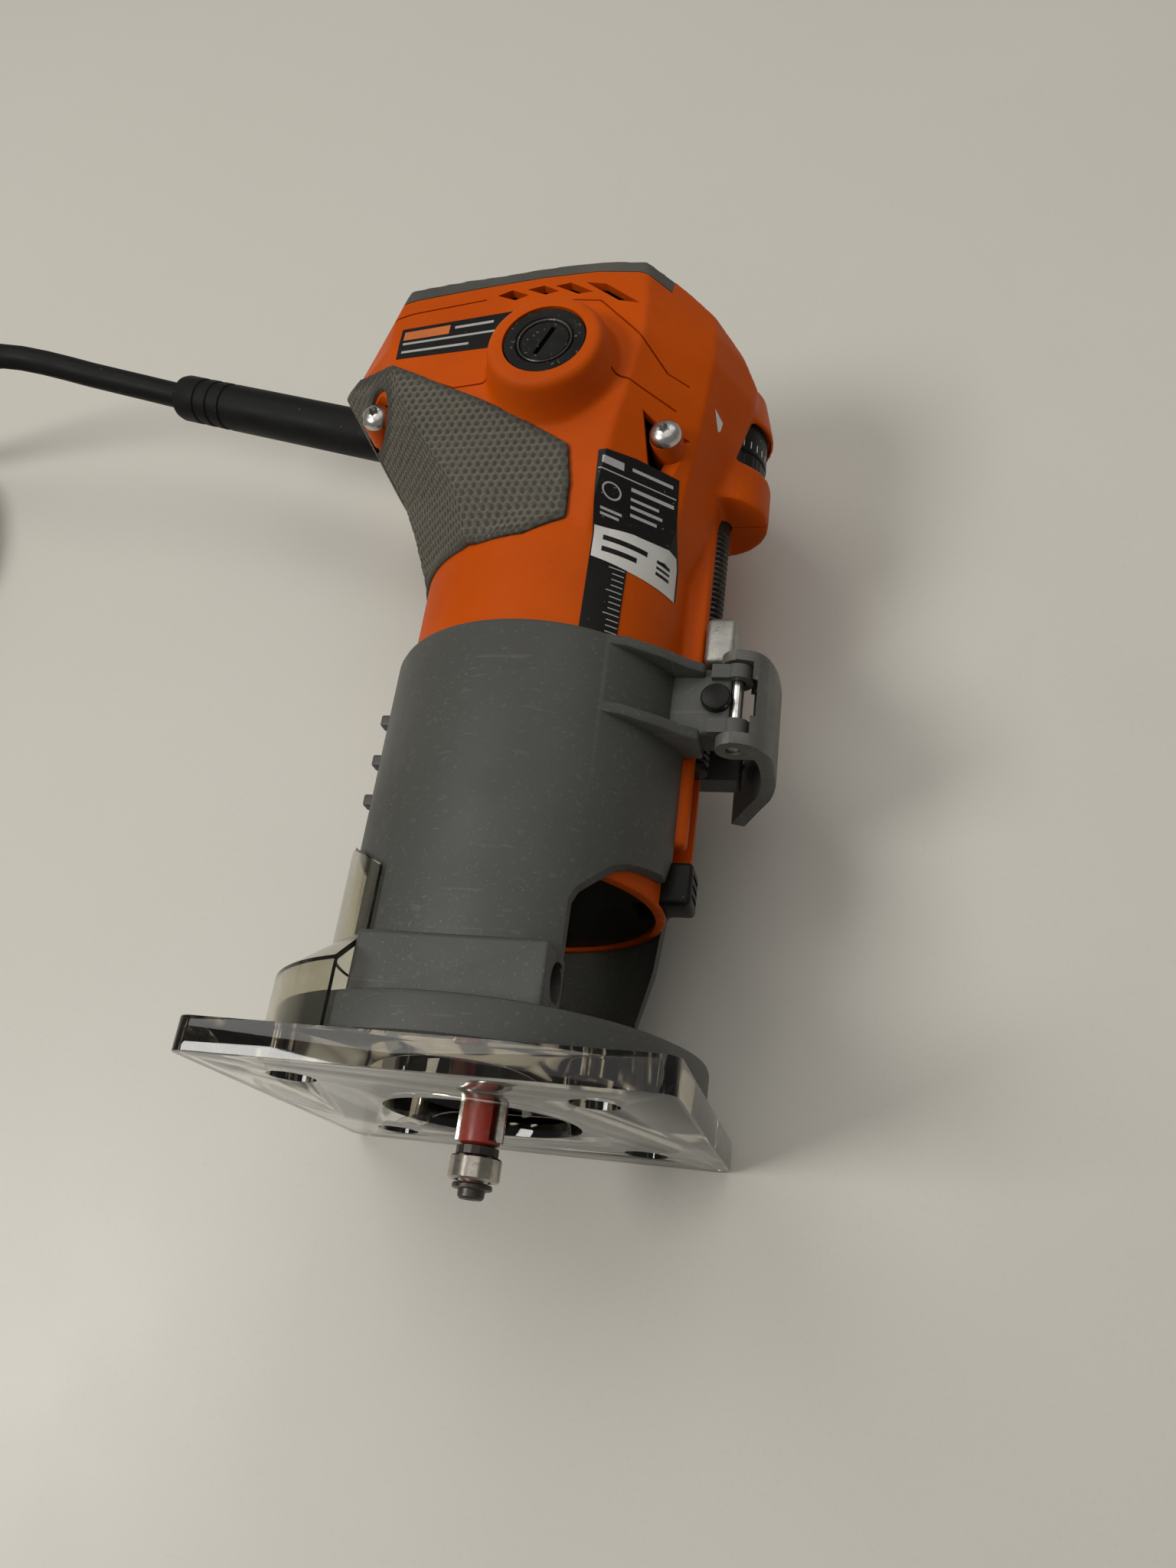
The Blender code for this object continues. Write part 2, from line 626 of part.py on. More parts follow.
def bit():
    """Flush-trim bit with its guide bearing."""
    bearing_low, bearing_high = BEARING_Y
    body = [
        (0, SHANK_TOP), (SHANK_R, SHANK_TOP), (SHANK_R, CUTTER_TOP + 1.5), (4.6, CUTTER_TOP),
        (4.6, bearing_high + 2.8), (3.4, bearing_high + 2.3), (2.3, bearing_high + 2.3),
        (2.3, bearing_low - GAP), (0, bearing_low - GAP),
    ]
    cutter = turned(body, steps=FINE)
    for side in (1, -1):
        flute = box((min(side * 1.0, side * CUTTER_R), bearing_high + 3.2, AXIS_Z + side * 0.6 - 0.9),
                    (max(side * 1.0, side * CUTTER_R), CUTTER_TOP - 0.5, AXIS_Z + side * 0.6 + 0.9))
        join(cutter, flute)
    piece(cutter, "bit_body", (0.35, 0.02, 0.02, 1), 0.4, 0.3)
    piece(ring(bearing_high + GAP, bearing_high + 2.0, 4.7, 2.3 + GAP, steps=FINE), "bit_collar", BLACK, 0.7)
    piece(ring(bearing_low, bearing_high, BIT_BEARING_R, 2.3 + GAP, steps=24), "bit_bearing", STEEL, 0.2, 1.0)
    screw = [(0, bearing_low - 2 * GAP), (4.4, bearing_low - 2 * GAP), (4.4, bearing_low - 1.8),
             (3.0, bearing_low - 1.8), (2.4, BIT_TIP), (0, BIT_TIP)]
    piece(turned(screw, steps=FINE), "bit_screw", BLACK, 0.5, 0.6)


def adjuster():
    """Depth dial and its threaded rod."""
    dial = ring(DIAL_BOTTOM, DIAL_TOP, DIAL_R, ROD_R + GAP, ADJUST_X, steps=36)
    piece(dial, "depth_dial", BLACK, 0.45)
    piece(along_spindle(ROD_BOTTOM, DIAL_TOP + 5, ROD_R, ADJUST_X), "depth_rod", BLACK, 0.4, 0.6)


def controls():
    """Switch rocker, speed dial and spindle lock."""
    half = SWITCH_HALF - 0.8
    rocker = prism(((SWITCH_X - half, ROCKER_Y + 1.0), (SWITCH_X, ROCKER_Y), (SWITCH_X + half, ROCKER_Y + 1.0),
                    (SWITCH_X + half, ROCKER_Y + 6.4), (SWITCH_X, ROCKER_Y + 4.8),
                    (SWITCH_X - half, ROCKER_Y + 6.4)), AXIS_Z - half, AXIS_Z + half)
    hinge = Matrix.Translation(Vector((SWITCH_X, ROCKER_Y, AXIS_Z)) * MM)
    lean = Matrix.Rotation(math.radians(-ROCKER_LEAN), 4, "Z")
    rocker.matrix_world = hinge @ lean @ hinge.inverted() @ rocker.matrix_world
    piece(rocker, "switch_rocker", BLACK, 0.4)
    top = SWITCH_Y + 8.5
    knob = along_spindle(SWITCH_Y + GAP, top, SPEED_R, SPEED_X, segments=24)
    cut(knob, box((SPEED_X - 0.6, top - 1.2, AXIS_Z), (SPEED_X + 0.6, top + 1, AXIS_Z + SPEED_R + 1)))
    piece(knob, "speed_dial", BLACK, 0.4)
    button = box((BARREL_R - 2.2, BUTTON_Y - BUTTON_HALF, AXIS_Z - BUTTON_HALF),
                 (BUTTON_REACH, BUTTON_Y + BUTTON_HALF, AXIS_Z + BUTTON_HALF))
    bevel(button, 1.2, 2)
    join(button, rod((21.0, BUTTON_Y, AXIS_Z), (BARREL_R - 1.0, BUTTON_Y, AXIS_Z), LOCK_PIN_R))
    piece(button, "lock_button", BLACK, 0.5)


def base():
    """Casting with its flange, window, clamp ears and edge-guide block."""
    sleeve_in = BARREL_R + GAP
    sleeve_out = sleeve_in + SLEEVE_WALL
    bottom = PLATE_FACE + GAP
    casting = turned([
        (0, SLEEVE_TOP), (sleeve_out - 1.2, SLEEVE_TOP), (sleeve_out, SLEEVE_TOP - 1.6), (sleeve_out, FLANGE_TOP),
        (FLANGE_R - 1.2, FLANGE_TOP), (FLANGE_R, FLANGE_TOP - 1.2), (FLANGE_R, bottom), (0, bottom)])
    gap_from = (25.0, 40.0, AXIS_Z - SPLIT_HALF)
    gap_to = (EAR_X + 12, SLEEVE_TOP + 5, AXIS_Z + SPLIT_HALF)
    for side in (1, -1):
        inner = AXIS_Z + side * SPLIT_HALF
        outer = inner + side * EAR_DEPTH
        low, high = sorted((inner - side, outer))
        join(casting, box((BARREL_R - 5, EAR_BOTTOM, low), (EAR_X, SLEEVE_TOP - 0.2, high)))
    for low in (EAR_BOTTOM, SLEEVE_TOP - PIN_LUG):
        high = low + PIN_LUG
        join(casting, box((EAR_X - 5, low + 0.05, PIN_Z - 3.1), (PIN_X, high + 0.05, PIN_Z + 3.1)),
             rod((PIN_X, low + 0.05, PIN_Z), (PIN_X, high + 0.05, PIN_Z), 3.6))
    sill = FLANGE_TOP + 0.7
    front_window = ((21.0, sill), (21.0, 37.5), (29.5, 48.2), (36.3, 50.8), (37.4, 55.5), (60.0, 55.5),
                    (60.0, sill))
    rear_window = ((26.0, sill), (27.0, 26.0), (31.0, 37.5), (33.0, 50.8), (37.2, 55.2), (60.0, 55.2),
                   (60.0, sill))
    left_window = ((-25.0, sill), (-25.0, 42.0), (-32.0, 50.0), (-60.0, 50.0), (-60.0, sill))
    cut(
        casting,
        turned([(0, SLEEVE_TOP + 8), (sleeve_in, SLEEVE_TOP + 8), (sleeve_in, FLANGE_TOP - 1),
                (PLATE_BORE / 2 + 1, FLANGE_TOP - 1), (PLATE_BORE / 2 + 1, 0), (0, 0)]),
    )
    join(casting, box((-BLOCK_HALF, FLANGE_TOP - 2, AXIS_Z + 24.5),
                      (BLOCK_HALF, BLOCK_TOP, AXIS_Z + BLOCK_FACE)))
    cut(
        casting,
        prism(front_window, AXIS_Z - 16, AXIS_Z + 60),
        prism(rear_window, AXIS_Z - 60, AXIS_Z - 15),
        prism(left_window, AXIS_Z - 60, AXIS_Z + 60),
        box(gap_from, gap_to),
        rod((-BLOCK_HALF - 1, 19.6, AXIS_Z + 31.2), (BLOCK_HALF + 1, 19.6, AXIS_Z + 31.2), GUIDE_BORE_R),
        rod((BOLT_X, BOLT_Y, AXIS_Z - 40), (BOLT_X, BOLT_Y, AXIS_Z + 40), BOLT_R + GAP),
        rod((PIN_X, LEVER_BOTTOM, PIN_Z), (PIN_X, LEVER_TOP, PIN_Z), PIN_R + GAP),
    )
    for x, z in hole_places():
        cut(casting, rod((x, bottom - 1, z), (x, FLANGE_TOP - 1, z), PLATE_SCREW_D / 2 + GAP))
    piece(casting, "base_casting", CASTING, 0.55, 0.3)
    grip = 2 * (SPLIT_HALF + EAR_DEPTH) + 5
    bolt = turned([(0, 3.0), (BOLT_HEAD_R, 3.0), (BOLT_HEAD_R, 0), (BOLT_R, 0), (BOLT_R, -grip), (0, -grip)],
                  (BOLT_X, BOLT_Y, AXIS_Z + SPLIT_HALF + EAR_DEPTH + GAP), (0, 0, 1), FINE)
    piece(bolt, "clamp_bolt", BLACK, 0.4, 0.6)
    nut = turned([(0, -GAP), (BOLT_HEAD_R, -GAP), (BOLT_HEAD_R, -3.2), (0, -3.2)],
                 (BOLT_X, BOLT_Y, AXIS_Z - SPLIT_HALF - EAR_DEPTH), (0, 0, 1), 6)
    cut(nut, rod((BOLT_X, BOLT_Y, 0), (BOLT_X, BOLT_Y, AXIS_Z), BOLT_R + GAP))
    piece(nut, "clamp_nut", STEEL, 0.4, 1.0)
    pin = rod((PIN_X, LEVER_BOTTOM + 0.6, PIN_Z), (PIN_X, LEVER_TOP - 0.6, PIN_Z), PIN_R)
    piece(pin, "lever_pin", STEEL, 0.3, 1.0)


# Clamp lever's outer face, x from the pin and height from the pin, pin end first.
LEVER_OUTLINE = ((-0.5, 4.5), (5.0, 2.5), (8.4, -4.5), (9.0, -14.5), (7.5, -24.5), (3.5, -33.5), (-1.0, -43.5))


def clamp_lever():
    """Lever that wraps from its pin round to the table side."""
    outer = [Vector(point) for point in LEVER_OUTLINE]
    inner = []
    for i, point in enumerate(outer):
        along = outer[min(i + 1, len(outer) - 1)] - outer[max(i - 1, 0)]
        inner.append(point + Vector((along.y, -along.x)).normalized() * LEVER_WALL)
    outline = [(PIN_X + p.x, PIN_Z + p.y) for p in outer + inner[::-1]]
    plate = prism(outline, LEVER_BOTTOM, LEVER_TOP, "Y")
    gap_low, gap_high = EAR_BOTTOM - GAP, SLEEVE_TOP + 2 * GAP
    join(plate, rod((PIN_X, LEVER_BOTTOM, PIN_Z), (PIN_X, LEVER_TOP, PIN_Z), 4.2),
         box((PIN_X, LEVER_BOTTOM, PIN_Z - 4.2), (PIN_X + 5, LEVER_TOP, PIN_Z + 2.0)))
    bolt_room = BOLT_HEAD_R + 1.0
    cut(plate, rod((PIN_X, gap_low, PIN_Z), (PIN_X, gap_high, PIN_Z), 5.0),
        rod((PIN_X, BOLT_Y - bolt_room, PIN_Z), (PIN_X, BOLT_Y + bolt_room, PIN_Z), 6.3),
        box((PIN_X - 10, gap_low, PIN_Z - 6), (PIN_X, gap_high, PIN_Z + 9)),
        rod((PIN_X, LEVER_BOTTOM - 1, PIN_Z), (PIN_X, LEVER_TOP + 1, PIN_Z), PIN_R + GAP))
    return plate


def clamp():
    """Clamp lever and the release tab that holds the half nut."""
    piece(clamp_lever(), "clamp_lever", CASTING, 0.5, 0.3)
    half = SPLIT_HALF - 1.5
    saddle_half = SPLIT_HALF + 2.7
    face = ADJUST_X + 4.0
    back = EAR_X - 1.0
    tab = box((face + GAP, TAB_BOTTOM, AXIS_Z - half), (back, TAB_TOP, AXIS_Z + half))
    join(tab, box((RAIL_X + 0.5, SADDLE_BOTTOM, AXIS_Z - saddle_half), (back, TAB_TOP, AXIS_Z + saddle_half)))
    cut(tab, box((RAIL_X - 4, TAB_BOTTOM - 1, AXIS_Z - ROD_R - 0.5), (face, TAB_TOP + 1, AXIS_Z + ROD_R + 0.5)))
    piece(tab, "release_tab", STEEL, 0.4, 0.9)


def hole_places():
    """The plate's four screw holes."""
    half = HOLE_PITCH / 2
    return [(x, AXIS_Z + z) for x in (-half, half) for z in (-half, half)]


def guide_plate():
    """Clear square plate with its screws, and the chip shield."""
    corners = []
    for x, z, first in ((1, 1, 0), (-1, 1, 90), (-1, -1, 180), (1, -1, 270)):
        for step in range(5):
            angle = math.radians(first + 22.5 * step)
            reach = PLATE / 2 - PLATE_CORNER
            corners.append((x * reach + PLATE_CORNER * math.cos(angle),
                            AXIS_Z + z * reach + PLATE_CORNER * math.sin(angle)))
    plate = prism(corners, -PLATE_FACE, PLATE_FACE, "Y")
    cut(plate, along_spindle(-PLATE_T, PLATE_T, PLATE_BORE / 2))
    for index, (x, z) in enumerate(hole_places()):
        seat = -PLATE_FACE + HOLE_DEPTH
        cut(plate, rod((x, -PLATE_T, z), (x, seat, z), HOLE_D / 2),
            rod((x, -PLATE_T, z), (x, PLATE_T, z), PLATE_SCREW_D / 2 + GAP))
        head = seat - GAP
        screw = [(0, head - 2.2), (PLATE_SCREW_HEAD_D / 2, head - 2.2), (PLATE_SCREW_HEAD_D / 2, head),
                 (PLATE_SCREW_D / 2, head), (PLATE_SCREW_D / 2, head + PLATE_SCREW_LENGTH - 4),
                 (0, head + PLATE_SCREW_LENGTH - 4)]
        mirrored = [(radius, -distance) for radius, distance in screw]
        piece(turned(mirrored, (x, 0, z), (0, -1, 0), FINE), f"plate_screw_{index + 1}", BLACK, 0.4, 0.6)
    piece(plate, "guide_plate", CLEAR, 0.15)
    out = BARREL_R + GAP + SLEEVE_WALL + GAP
    shield = turned([
        (out + 1.3, 50.0), (out + 1.3, 27.0), (FLANGE_R + 1.9, 18.5), (FLANGE_R + 1.9, PLATE_FACE + GAP),
        (FLANGE_R + 0.5, PLATE_FACE + GAP), (FLANGE_R + 0.5, 18.0), (out, 26.5), (out, 50.0)])
    outline = ((-20.9, 0.0), (-20.9, 42.5), (-32.0, 49.5), (-33.0, 51.0), (-70.0, 51.0), (-70.0, 0.0))
    keep(shield, prism(outline, 0.0, PLATE))
    piece(shield, "chip_shield", CLEAR, 0.15)


def cord():
    """Strain relief, cord, coil and plug."""
    start, end = Vector(EXIT_START), Vector(EXIT_END)
    length = (end - start).length
    radius = SLEEVE_D / 2
    profile = [(0, length), (radius - 1.6, length), (radius, length - 2.2), (radius, 0), (0, 0)]
    piece(turned(profile, start, end - start, FINE), "strain_relief", BLACK, 0.6)
    toward = (end - start).normalized()
    coil_z = COIL_SECTION
    route = smooth_route([tuple(end + toward * GAP)] + list(CORD_ROUTE), 1)
    piece(tube(route, CORD_D), "power_cord", BLACK, 0.55)
    sides = 12
    section = [(COIL_R + COIL_SECTION * math.cos(2 * math.pi * i / sides),
                -COIL_SECTION * math.sin(2 * math.pi * i / sides)) for i in range(sides)]
    coil = turned(section, (COIL_CENTRE[0], COIL_CENTRE[1], coil_z), (0, 0, 1), 28)
    piece(coil, "cord_coil", BLACK, 0.55)
    plug = turned([(0, PLUG_LENGTH), (11.0, PLUG_LENGTH), (12.5, PLUG_LENGTH - 2), (12.5, PLUG_LENGTH - 13),
                   (7.0, 12.0), (4.5, 0), (0, 0)], (PLUG_X, PLUG_Y, COIL_SECTION), (0, -1, 0), FINE)
    piece(plug, "plug_body", BLACK, 0.5)
    for side, word in ((1, "right"), (-1, "left")):
        blade_to = PLUG_Y - PLUG_LENGTH - GAP
        x = PLUG_X + side * 6.35
        blade = box((x - 0.75, blade_to - 16.5, COIL_SECTION - 3.2), (x + 0.75, blade_to, COIL_SECTION + 3.2))
        piece(blade, "plug_blade_" + word, BRASS, 0.3, 1.0)


def pivot(name, place, *nodes):
    """Empty on a joint's axis that carries the pieces the joint moves."""
    empty = bpy.data.objects.new(name, None)
    empty.location = Vector(place) * MM
    bpy.data.collections["trim_router"].objects.link(empty)
    for node in nodes:
        moving = bpy.data.objects[node]
        moving.parent = empty
        moving.matrix_parent_inverse = Matrix.Translation(-empty.location)


def pivots():
    """Joint axes: the pieces that move hang from empties that lie on them."""
    spindle = (0.0, SPINDLE_NOSE, AXIS_Z)
    pivot("spindle_axis", spindle, "spindle_shaft", "armature_core", "armature_coil_lower",
          "armature_coil_upper", "commutator", "cooling_fan", "collet", "collet_nut", "bit_body", "bit_collar",
          "bit_screw")
    pivot("bit_bearing_axis", (0.0, BEARING_Y[0], AXIS_Z), "bit_bearing")
    screws = [f"plate_screw_{index + 1}" for index in range(len(hole_places()))]
    pivot("depth_axis", (0.0, 0.0, AXIS_Z), "base_casting", "guide_plate", "chip_shield", "clamp_bolt",
          "clamp_nut", "lever_pin", *screws)
    pivot("adjuster_axis", (ADJUST_X, DIAL_BOTTOM, AXIS_Z), "depth_dial", "depth_rod")
    pivot("lever_axis", (PIN_X, LEVER_BOTTOM, PIN_Z), "clamp_lever")
    pivot("tab_axis", (ADJUST_X, TAB_BOTTOM, AXIS_Z), "release_tab")
    pivot("lock_axis", (BARREL_R, BUTTON_Y, AXIS_Z), "lock_button")
    pivot("switch_axis", (SWITCH_X, ROCKER_Y, AXIS_Z), "switch_rocker")
    pivot("speed_axis", (SPEED_X, SWITCH_Y, AXIS_Z), "speed_dial")


def main():
    """Build the whole router."""
    start_scene()
    housing()
    motor()
    rotor()
    bit()
    adjuster()
    controls()
    base()
    clamp()
    guide_plate()
    cord()
    pivots()


main()
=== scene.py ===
"""Trim router lying on one edge of its guide plate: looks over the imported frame.

Sizes are in millimetres in the frame's axes and become metres where the meshes are made.
"""

import logging
import math
from dataclasses import dataclass, field
from enum import Enum
from typing import Callable, Sequence

import bpy
import numpy as np
from mathutils import Matrix, Vector


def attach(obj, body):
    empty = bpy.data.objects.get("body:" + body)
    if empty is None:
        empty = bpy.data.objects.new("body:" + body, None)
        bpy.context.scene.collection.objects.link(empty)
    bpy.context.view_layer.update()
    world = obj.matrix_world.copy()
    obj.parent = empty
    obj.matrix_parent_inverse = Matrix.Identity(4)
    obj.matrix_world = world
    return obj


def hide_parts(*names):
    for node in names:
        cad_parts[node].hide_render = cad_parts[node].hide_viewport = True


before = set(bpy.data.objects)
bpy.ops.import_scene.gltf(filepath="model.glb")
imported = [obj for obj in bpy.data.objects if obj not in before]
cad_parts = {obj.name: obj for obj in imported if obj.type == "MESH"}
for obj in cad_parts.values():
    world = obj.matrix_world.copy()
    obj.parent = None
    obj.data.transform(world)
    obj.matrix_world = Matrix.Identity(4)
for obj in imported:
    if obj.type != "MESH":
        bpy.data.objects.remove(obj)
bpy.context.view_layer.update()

LOG = logging.getLogger("trim_router")

Point = tuple[float, float, float]
Flat = tuple[float, float]
Rgb = tuple[float, float, float]
Obj = bpy.types.Object
Tree = bpy.types.NodeTree
Node = bpy.types.Node
Socket = bpy.types.NodeSocket

MM = 0.001
AXIS_Z = 50.0
REACH = 60.0
ROUND = 128
FINE = 48
WELD = 1e-6


class Combine(Enum):
    """How one solid is combined with another."""

    CUT = "DIFFERENCE"
    JOIN = "UNION"
    KEEP = "INTERSECT"


class Along(Enum):
    """Axis that a flat outline is extruded along."""

    Z = "Z"
    Y = "Y"


# ---------------------------------------------------------------------------
# Bench tools


def alone(obj: Obj) -> Obj:
    """Select one object and make it active.

    Args:
        obj: the object.

    Returns:
        The same object.
    """
    bpy.ops.object.select_all(action="DESELECT")
    obj.select_set(True)
    bpy.context.view_layer.objects.active = obj
    return obj


def edit(obj: Obj, *steps: Callable[[], object]) -> Obj:
    """Run edit-mode operators on a whole mesh.

    Args:
        obj: the mesh object.
        steps: operators to call in order.

    Returns:
        The same object.
    """
    alone(obj)
    bpy.ops.object.mode_set(mode="EDIT")
    bpy.ops.mesh.select_all(action="SELECT")
    for step in steps:
        step()
    bpy.ops.object.mode_set(mode="OBJECT")
    return obj


def outward(obj: Obj) -> Obj:
    """Merge doubles, then turn every face outwards."""
    return edit(
        obj,
        lambda: bpy.ops.mesh.remove_doubles(threshold=WELD),
        lambda: bpy.ops.mesh.delete_loose(),
        lambda: bpy.ops.mesh.select_all(action="SELECT"),
        lambda: bpy.ops.mesh.normals_make_consistent(inside=False),
    )


def apply(obj: Obj, kind: str, **settings: object) -> Obj:
    """Add a modifier and apply it.

    Args:
        obj: the mesh object.
        kind: the modifier's type.
        settings: values for its properties.

    Returns:
        The same object.
    """
    alone(obj)
    modifier = obj.modifiers.new(kind.lower(), kind)
    for key, value in settings.items():
        setattr(modifier, key, value)
    bpy.ops.object.modifier_apply(modifier=modifier.name)
    return obj


def combine(obj: Obj, how: Combine, *others: Obj) -> Obj:
    """Boolean an object with others, which are used up.

    Args:
        obj: the solid that stays.
        how: cut, join or keep.
        others: the solids to combine it with.

    Returns:
        The first solid.
    """
    for other in others:
        apply(obj, "BOOLEAN", operation=how.value, solver="MANIFOLD", object=other)
        bpy.data.objects.remove(other)
    return obj


def cut(obj: Obj, *others: Obj) -> Obj:
    """Take the other solids away."""
    return combine(obj, Combine.CUT, *others)


def join(obj: Obj, *others: Obj) -> Obj:
    """Add the other solids."""
    return combine(obj, Combine.JOIN, *others)


def keep(obj: Obj, *others: Obj) -> Obj:
    """Keep what lies inside the other solids."""
    return combine(obj, Combine.KEEP, *others)


def bevel(obj: Obj, width: float, segments: int = 2, angle: float = 35.0) -> Obj:
    """Round the edges sharper than an angle.

    Args:
        obj: the mesh object.
        width: width of the rounding in mm.
        segments: faces across it.
        angle: least angle in degrees between two faces.

    Returns:
        The same object.
    """
    return apply(obj, "BEVEL", width=width * MM, segments=segments, limit_method="ANGLE",
                 angle_limit=math.radians(angle), use_clamp_overlap=True)


def soften(obj: Obj, voxel: float, rounds: int, factor: float = 0.5) -> Obj:
    """Remesh a solid and relax it, so its edges run smooth as moulded plastic.

    Args:
        obj: the solid.
        voxel: voxel size in mm.
        rounds: times it is relaxed.
        factor: share of each move.

    Returns:
        The same object.
    """
    apply(obj, "REMESH", mode="VOXEL", voxel_size=voxel * MM)
    return apply(obj, "SMOOTH", iterations=rounds, factor=factor)


def disc(outline: Sequence[Sequence[float]], filled: bool = True) -> Obj:
    """Flat polygon or ring of edges through points.

    Args:
        outline: points as (x, y) or (x, y, z) in mm.
        filled: whether it has a face.

    Returns:
        The new object.
    """
    bpy.ops.object.select_all(action="DESELECT")
    bpy.ops.mesh.primitive_circle_add(vertices=len(outline), radius=MM, fill_type="NGON" if filled else "NOTHING")
    obj = bpy.context.object
    for vert, point in zip(obj.data.vertices, outline):
        vert.co = Vector((*point, 0.0)[:3]) * MM
    return obj


def prism(outline: Sequence[Flat], low: float, high: float, along: Along = Along.Z) -> Obj:
    """Flat outline extruded to a solid.

    Args:
        outline: points as (x, y), or as (x, z) when it is extruded along Y.
        low: where it starts.
        high: where it ends.
        along: the axis it is extruded along.

    Returns:
        The new solid.
    """
    if along is Along.Z:
        obj = disc([(x, y, low) for x, y in outline])
        move = (0.0, 0.0, (high - low) * MM)
    else:
        obj = disc([(x, low, z) for x, z in outline])
        move = (0.0, (high - low) * MM, 0.0)
    edit(obj, lambda: bpy.ops.mesh.extrude_region_move(TRANSFORM_OT_translate={"value": move}))
    return outward(obj)


def box(low: Point, high: Point, rounding: float = 0.0) -> Obj:
    """Box between two corners, with its edges rounded if asked.

    Args:
        low: lowest corner.
        high: highest corner.
        rounding: width of its bevel.

    Returns:
        The new solid.
    """
    bpy.ops.object.select_all(action="DESELECT")
    middle = (Vector(low) + Vector(high)) / 2 * MM
    bpy.ops.mesh.primitive_cube_add(size=MM, location=middle, scale=Vector(high) - Vector(low))
    bpy.ops.object.transform_apply(location=True, rotation=True, scale=True)
    obj = bpy.context.object
    return bevel(obj, rounding, 3) if rounding else obj


def rod(start: Point, end: Point, radius: float, sides: int = FINE, end_radius: float | None = None) -> Obj:
    """Cylinder or cone between two points.

    Args:
        start: centre of its first end.
        end: centre of its other end.
        radius: radius at the first end.
        sides: faces round it.
        end_radius: radius at the other end, the same if not given.

    Returns:
        The new solid.
    """
    a, b = Vector(start), Vector(end)
    turn = Vector((0, 0, 1)).rotation_difference(b - a)
    bpy.ops.object.select_all(action="DESELECT")
    bpy.ops.mesh.primitive_cone_add(
        vertices=sides, radius1=radius * MM, radius2=(radius if end_radius is None else end_radius) * MM,
        depth=(b - a).length * MM, location=(a + b) / 2 * MM, rotation=turn.to_euler())
    bpy.ops.object.transform_apply(location=True, rotation=True, scale=True)
    return bpy.context.object


def spun(profile: Sequence[Flat], centre: Point = (0.0, 0.0, AXIS_Z), toward: Point = (0.0, 1.0, 0.0),
         steps: int = ROUND) -> Obj:
    """Turned solid from a closed profile.

    Args:
        profile: points as (radius, distance along the axis).
        centre: where the distance is zero.
        toward: direction of the axis.
        steps: faces round it.

    Returns:
        The new solid.
    """
    obj = disc([(radius, 0.0, distance) for radius, distance in profile], filled=False)
    apply(obj, "SCREW", steps=steps, render_steps=steps, use_merge_vertices=True, merge_threshold=WELD)
    turn = Vector((0, 0, 1)).rotation_difference(Vector(toward)).to_matrix().to_4x4()
    obj.data.transform(Matrix.Translation(Vector(centre) * MM) @ turn)
    return outward(obj)


def loft(sections: Sequence[Sequence[Point]]) -> Obj:
    """Skin over rings that all have the same count of points, extruded ring by ring.

    Args:
        sections: the rings, in order.

    Returns:
        The new solid.
    """
    obj = disc(sections[0])
    here = [Vector(point) * MM for point in sections[0]]
    for section in sections[1:]:
        alone(obj)
        bpy.ops.object.mode_set(mode="EDIT")
        bpy.ops.mesh.extrude_region_move()
        bpy.ops.object.mode_set(mode="OBJECT")
        there = [Vector(point) * MM for point in section]
        for vert in obj.data.vertices:
            if vert.select:
                nearest = min(range(len(here)), key=lambda i: (here[i] - vert.co).length)
                vert.co = there[nearest]
        here = there
    edit(obj, lambda: bpy.ops.mesh.quads_convert_to_tris(quad_method="FIXED", ngon_method="BEAUTY"))
    return outward(obj)


def cable(points: Sequence[Point], diameter: float, name: str, smooth: int = 6) -> Obj:
    """Round curve of one open spline along points.

    Args:
        points: the route in mm.
        diameter: its thickness.
        name: the curve's name.
        smooth: quality of the round section.

    Returns:
        The curve object.
    """
    curve = bpy.data.curves.new(name, "CURVE")
    curve.dimensions = "3D"
    curve.bevel_depth = diameter / 2 * MM
    curve.bevel_resolution = smooth
    curve.use_fill_caps = True
    spline = curve.splines.new("POLY")
    spline.points.add(len(points) - 1)
    for point, place in zip(spline.points, points):
        point.co = (*(Vector(place) * MM), 1.0)
    spline.use_smooth = True
    obj = bpy.data.objects.new(name, curve)
    bpy.context.scene.collection.objects.link(obj)
    return obj


def joined(objs: Sequence[Obj]) -> Obj:
    """Join several objects into one.

    Args:
        objs: the objects, which are used up.

    Returns:
        The first object, which now holds all of them.
    """
    bpy.ops.object.select_all(action="DESELECT")
    for obj in objs:
        obj.select_set(True)
    bpy.context.view_layer.objects.active = objs[0]
    bpy.ops.object.join()
    return objs[0]


def copies(obj: Obj, turns: Sequence[Matrix]) -> Obj:
    """One object made of a copy at each matrix.

    Args:
        obj: the pattern, which is used up.
        turns: a matrix for each copy.

    Returns:
        The joined copies.
    """
    twins = []
    for turn in turns:
        twin = obj.copy()
        twin.data = obj.data.copy()
        twin.data.transform(turn)
        bpy.context.scene.collection.objects.link(twin)
        twins.append(twin)
    bpy.data.objects.remove(obj)
    return joined(twins)


def polygon(radius: float, sides: int, x: float = 0.0, y: float = AXIS_Z) -> list[Flat]:
    """Corners of a regular polygon about a centre."""
    return [(x + radius * math.cos(math.tau * i / sides), y + radius * math.sin(math.tau * i / sides))
            for i in range(sides)]


def about(centre: Point, degrees: float, axis: str) -> Matrix:
    """Matrix of a turn about an axis through a point in mm."""
    place = Matrix.Translation(Vector(centre) * MM)
    return place @ Matrix.Rotation(math.radians(degrees), 4, axis) @ place.inverted()


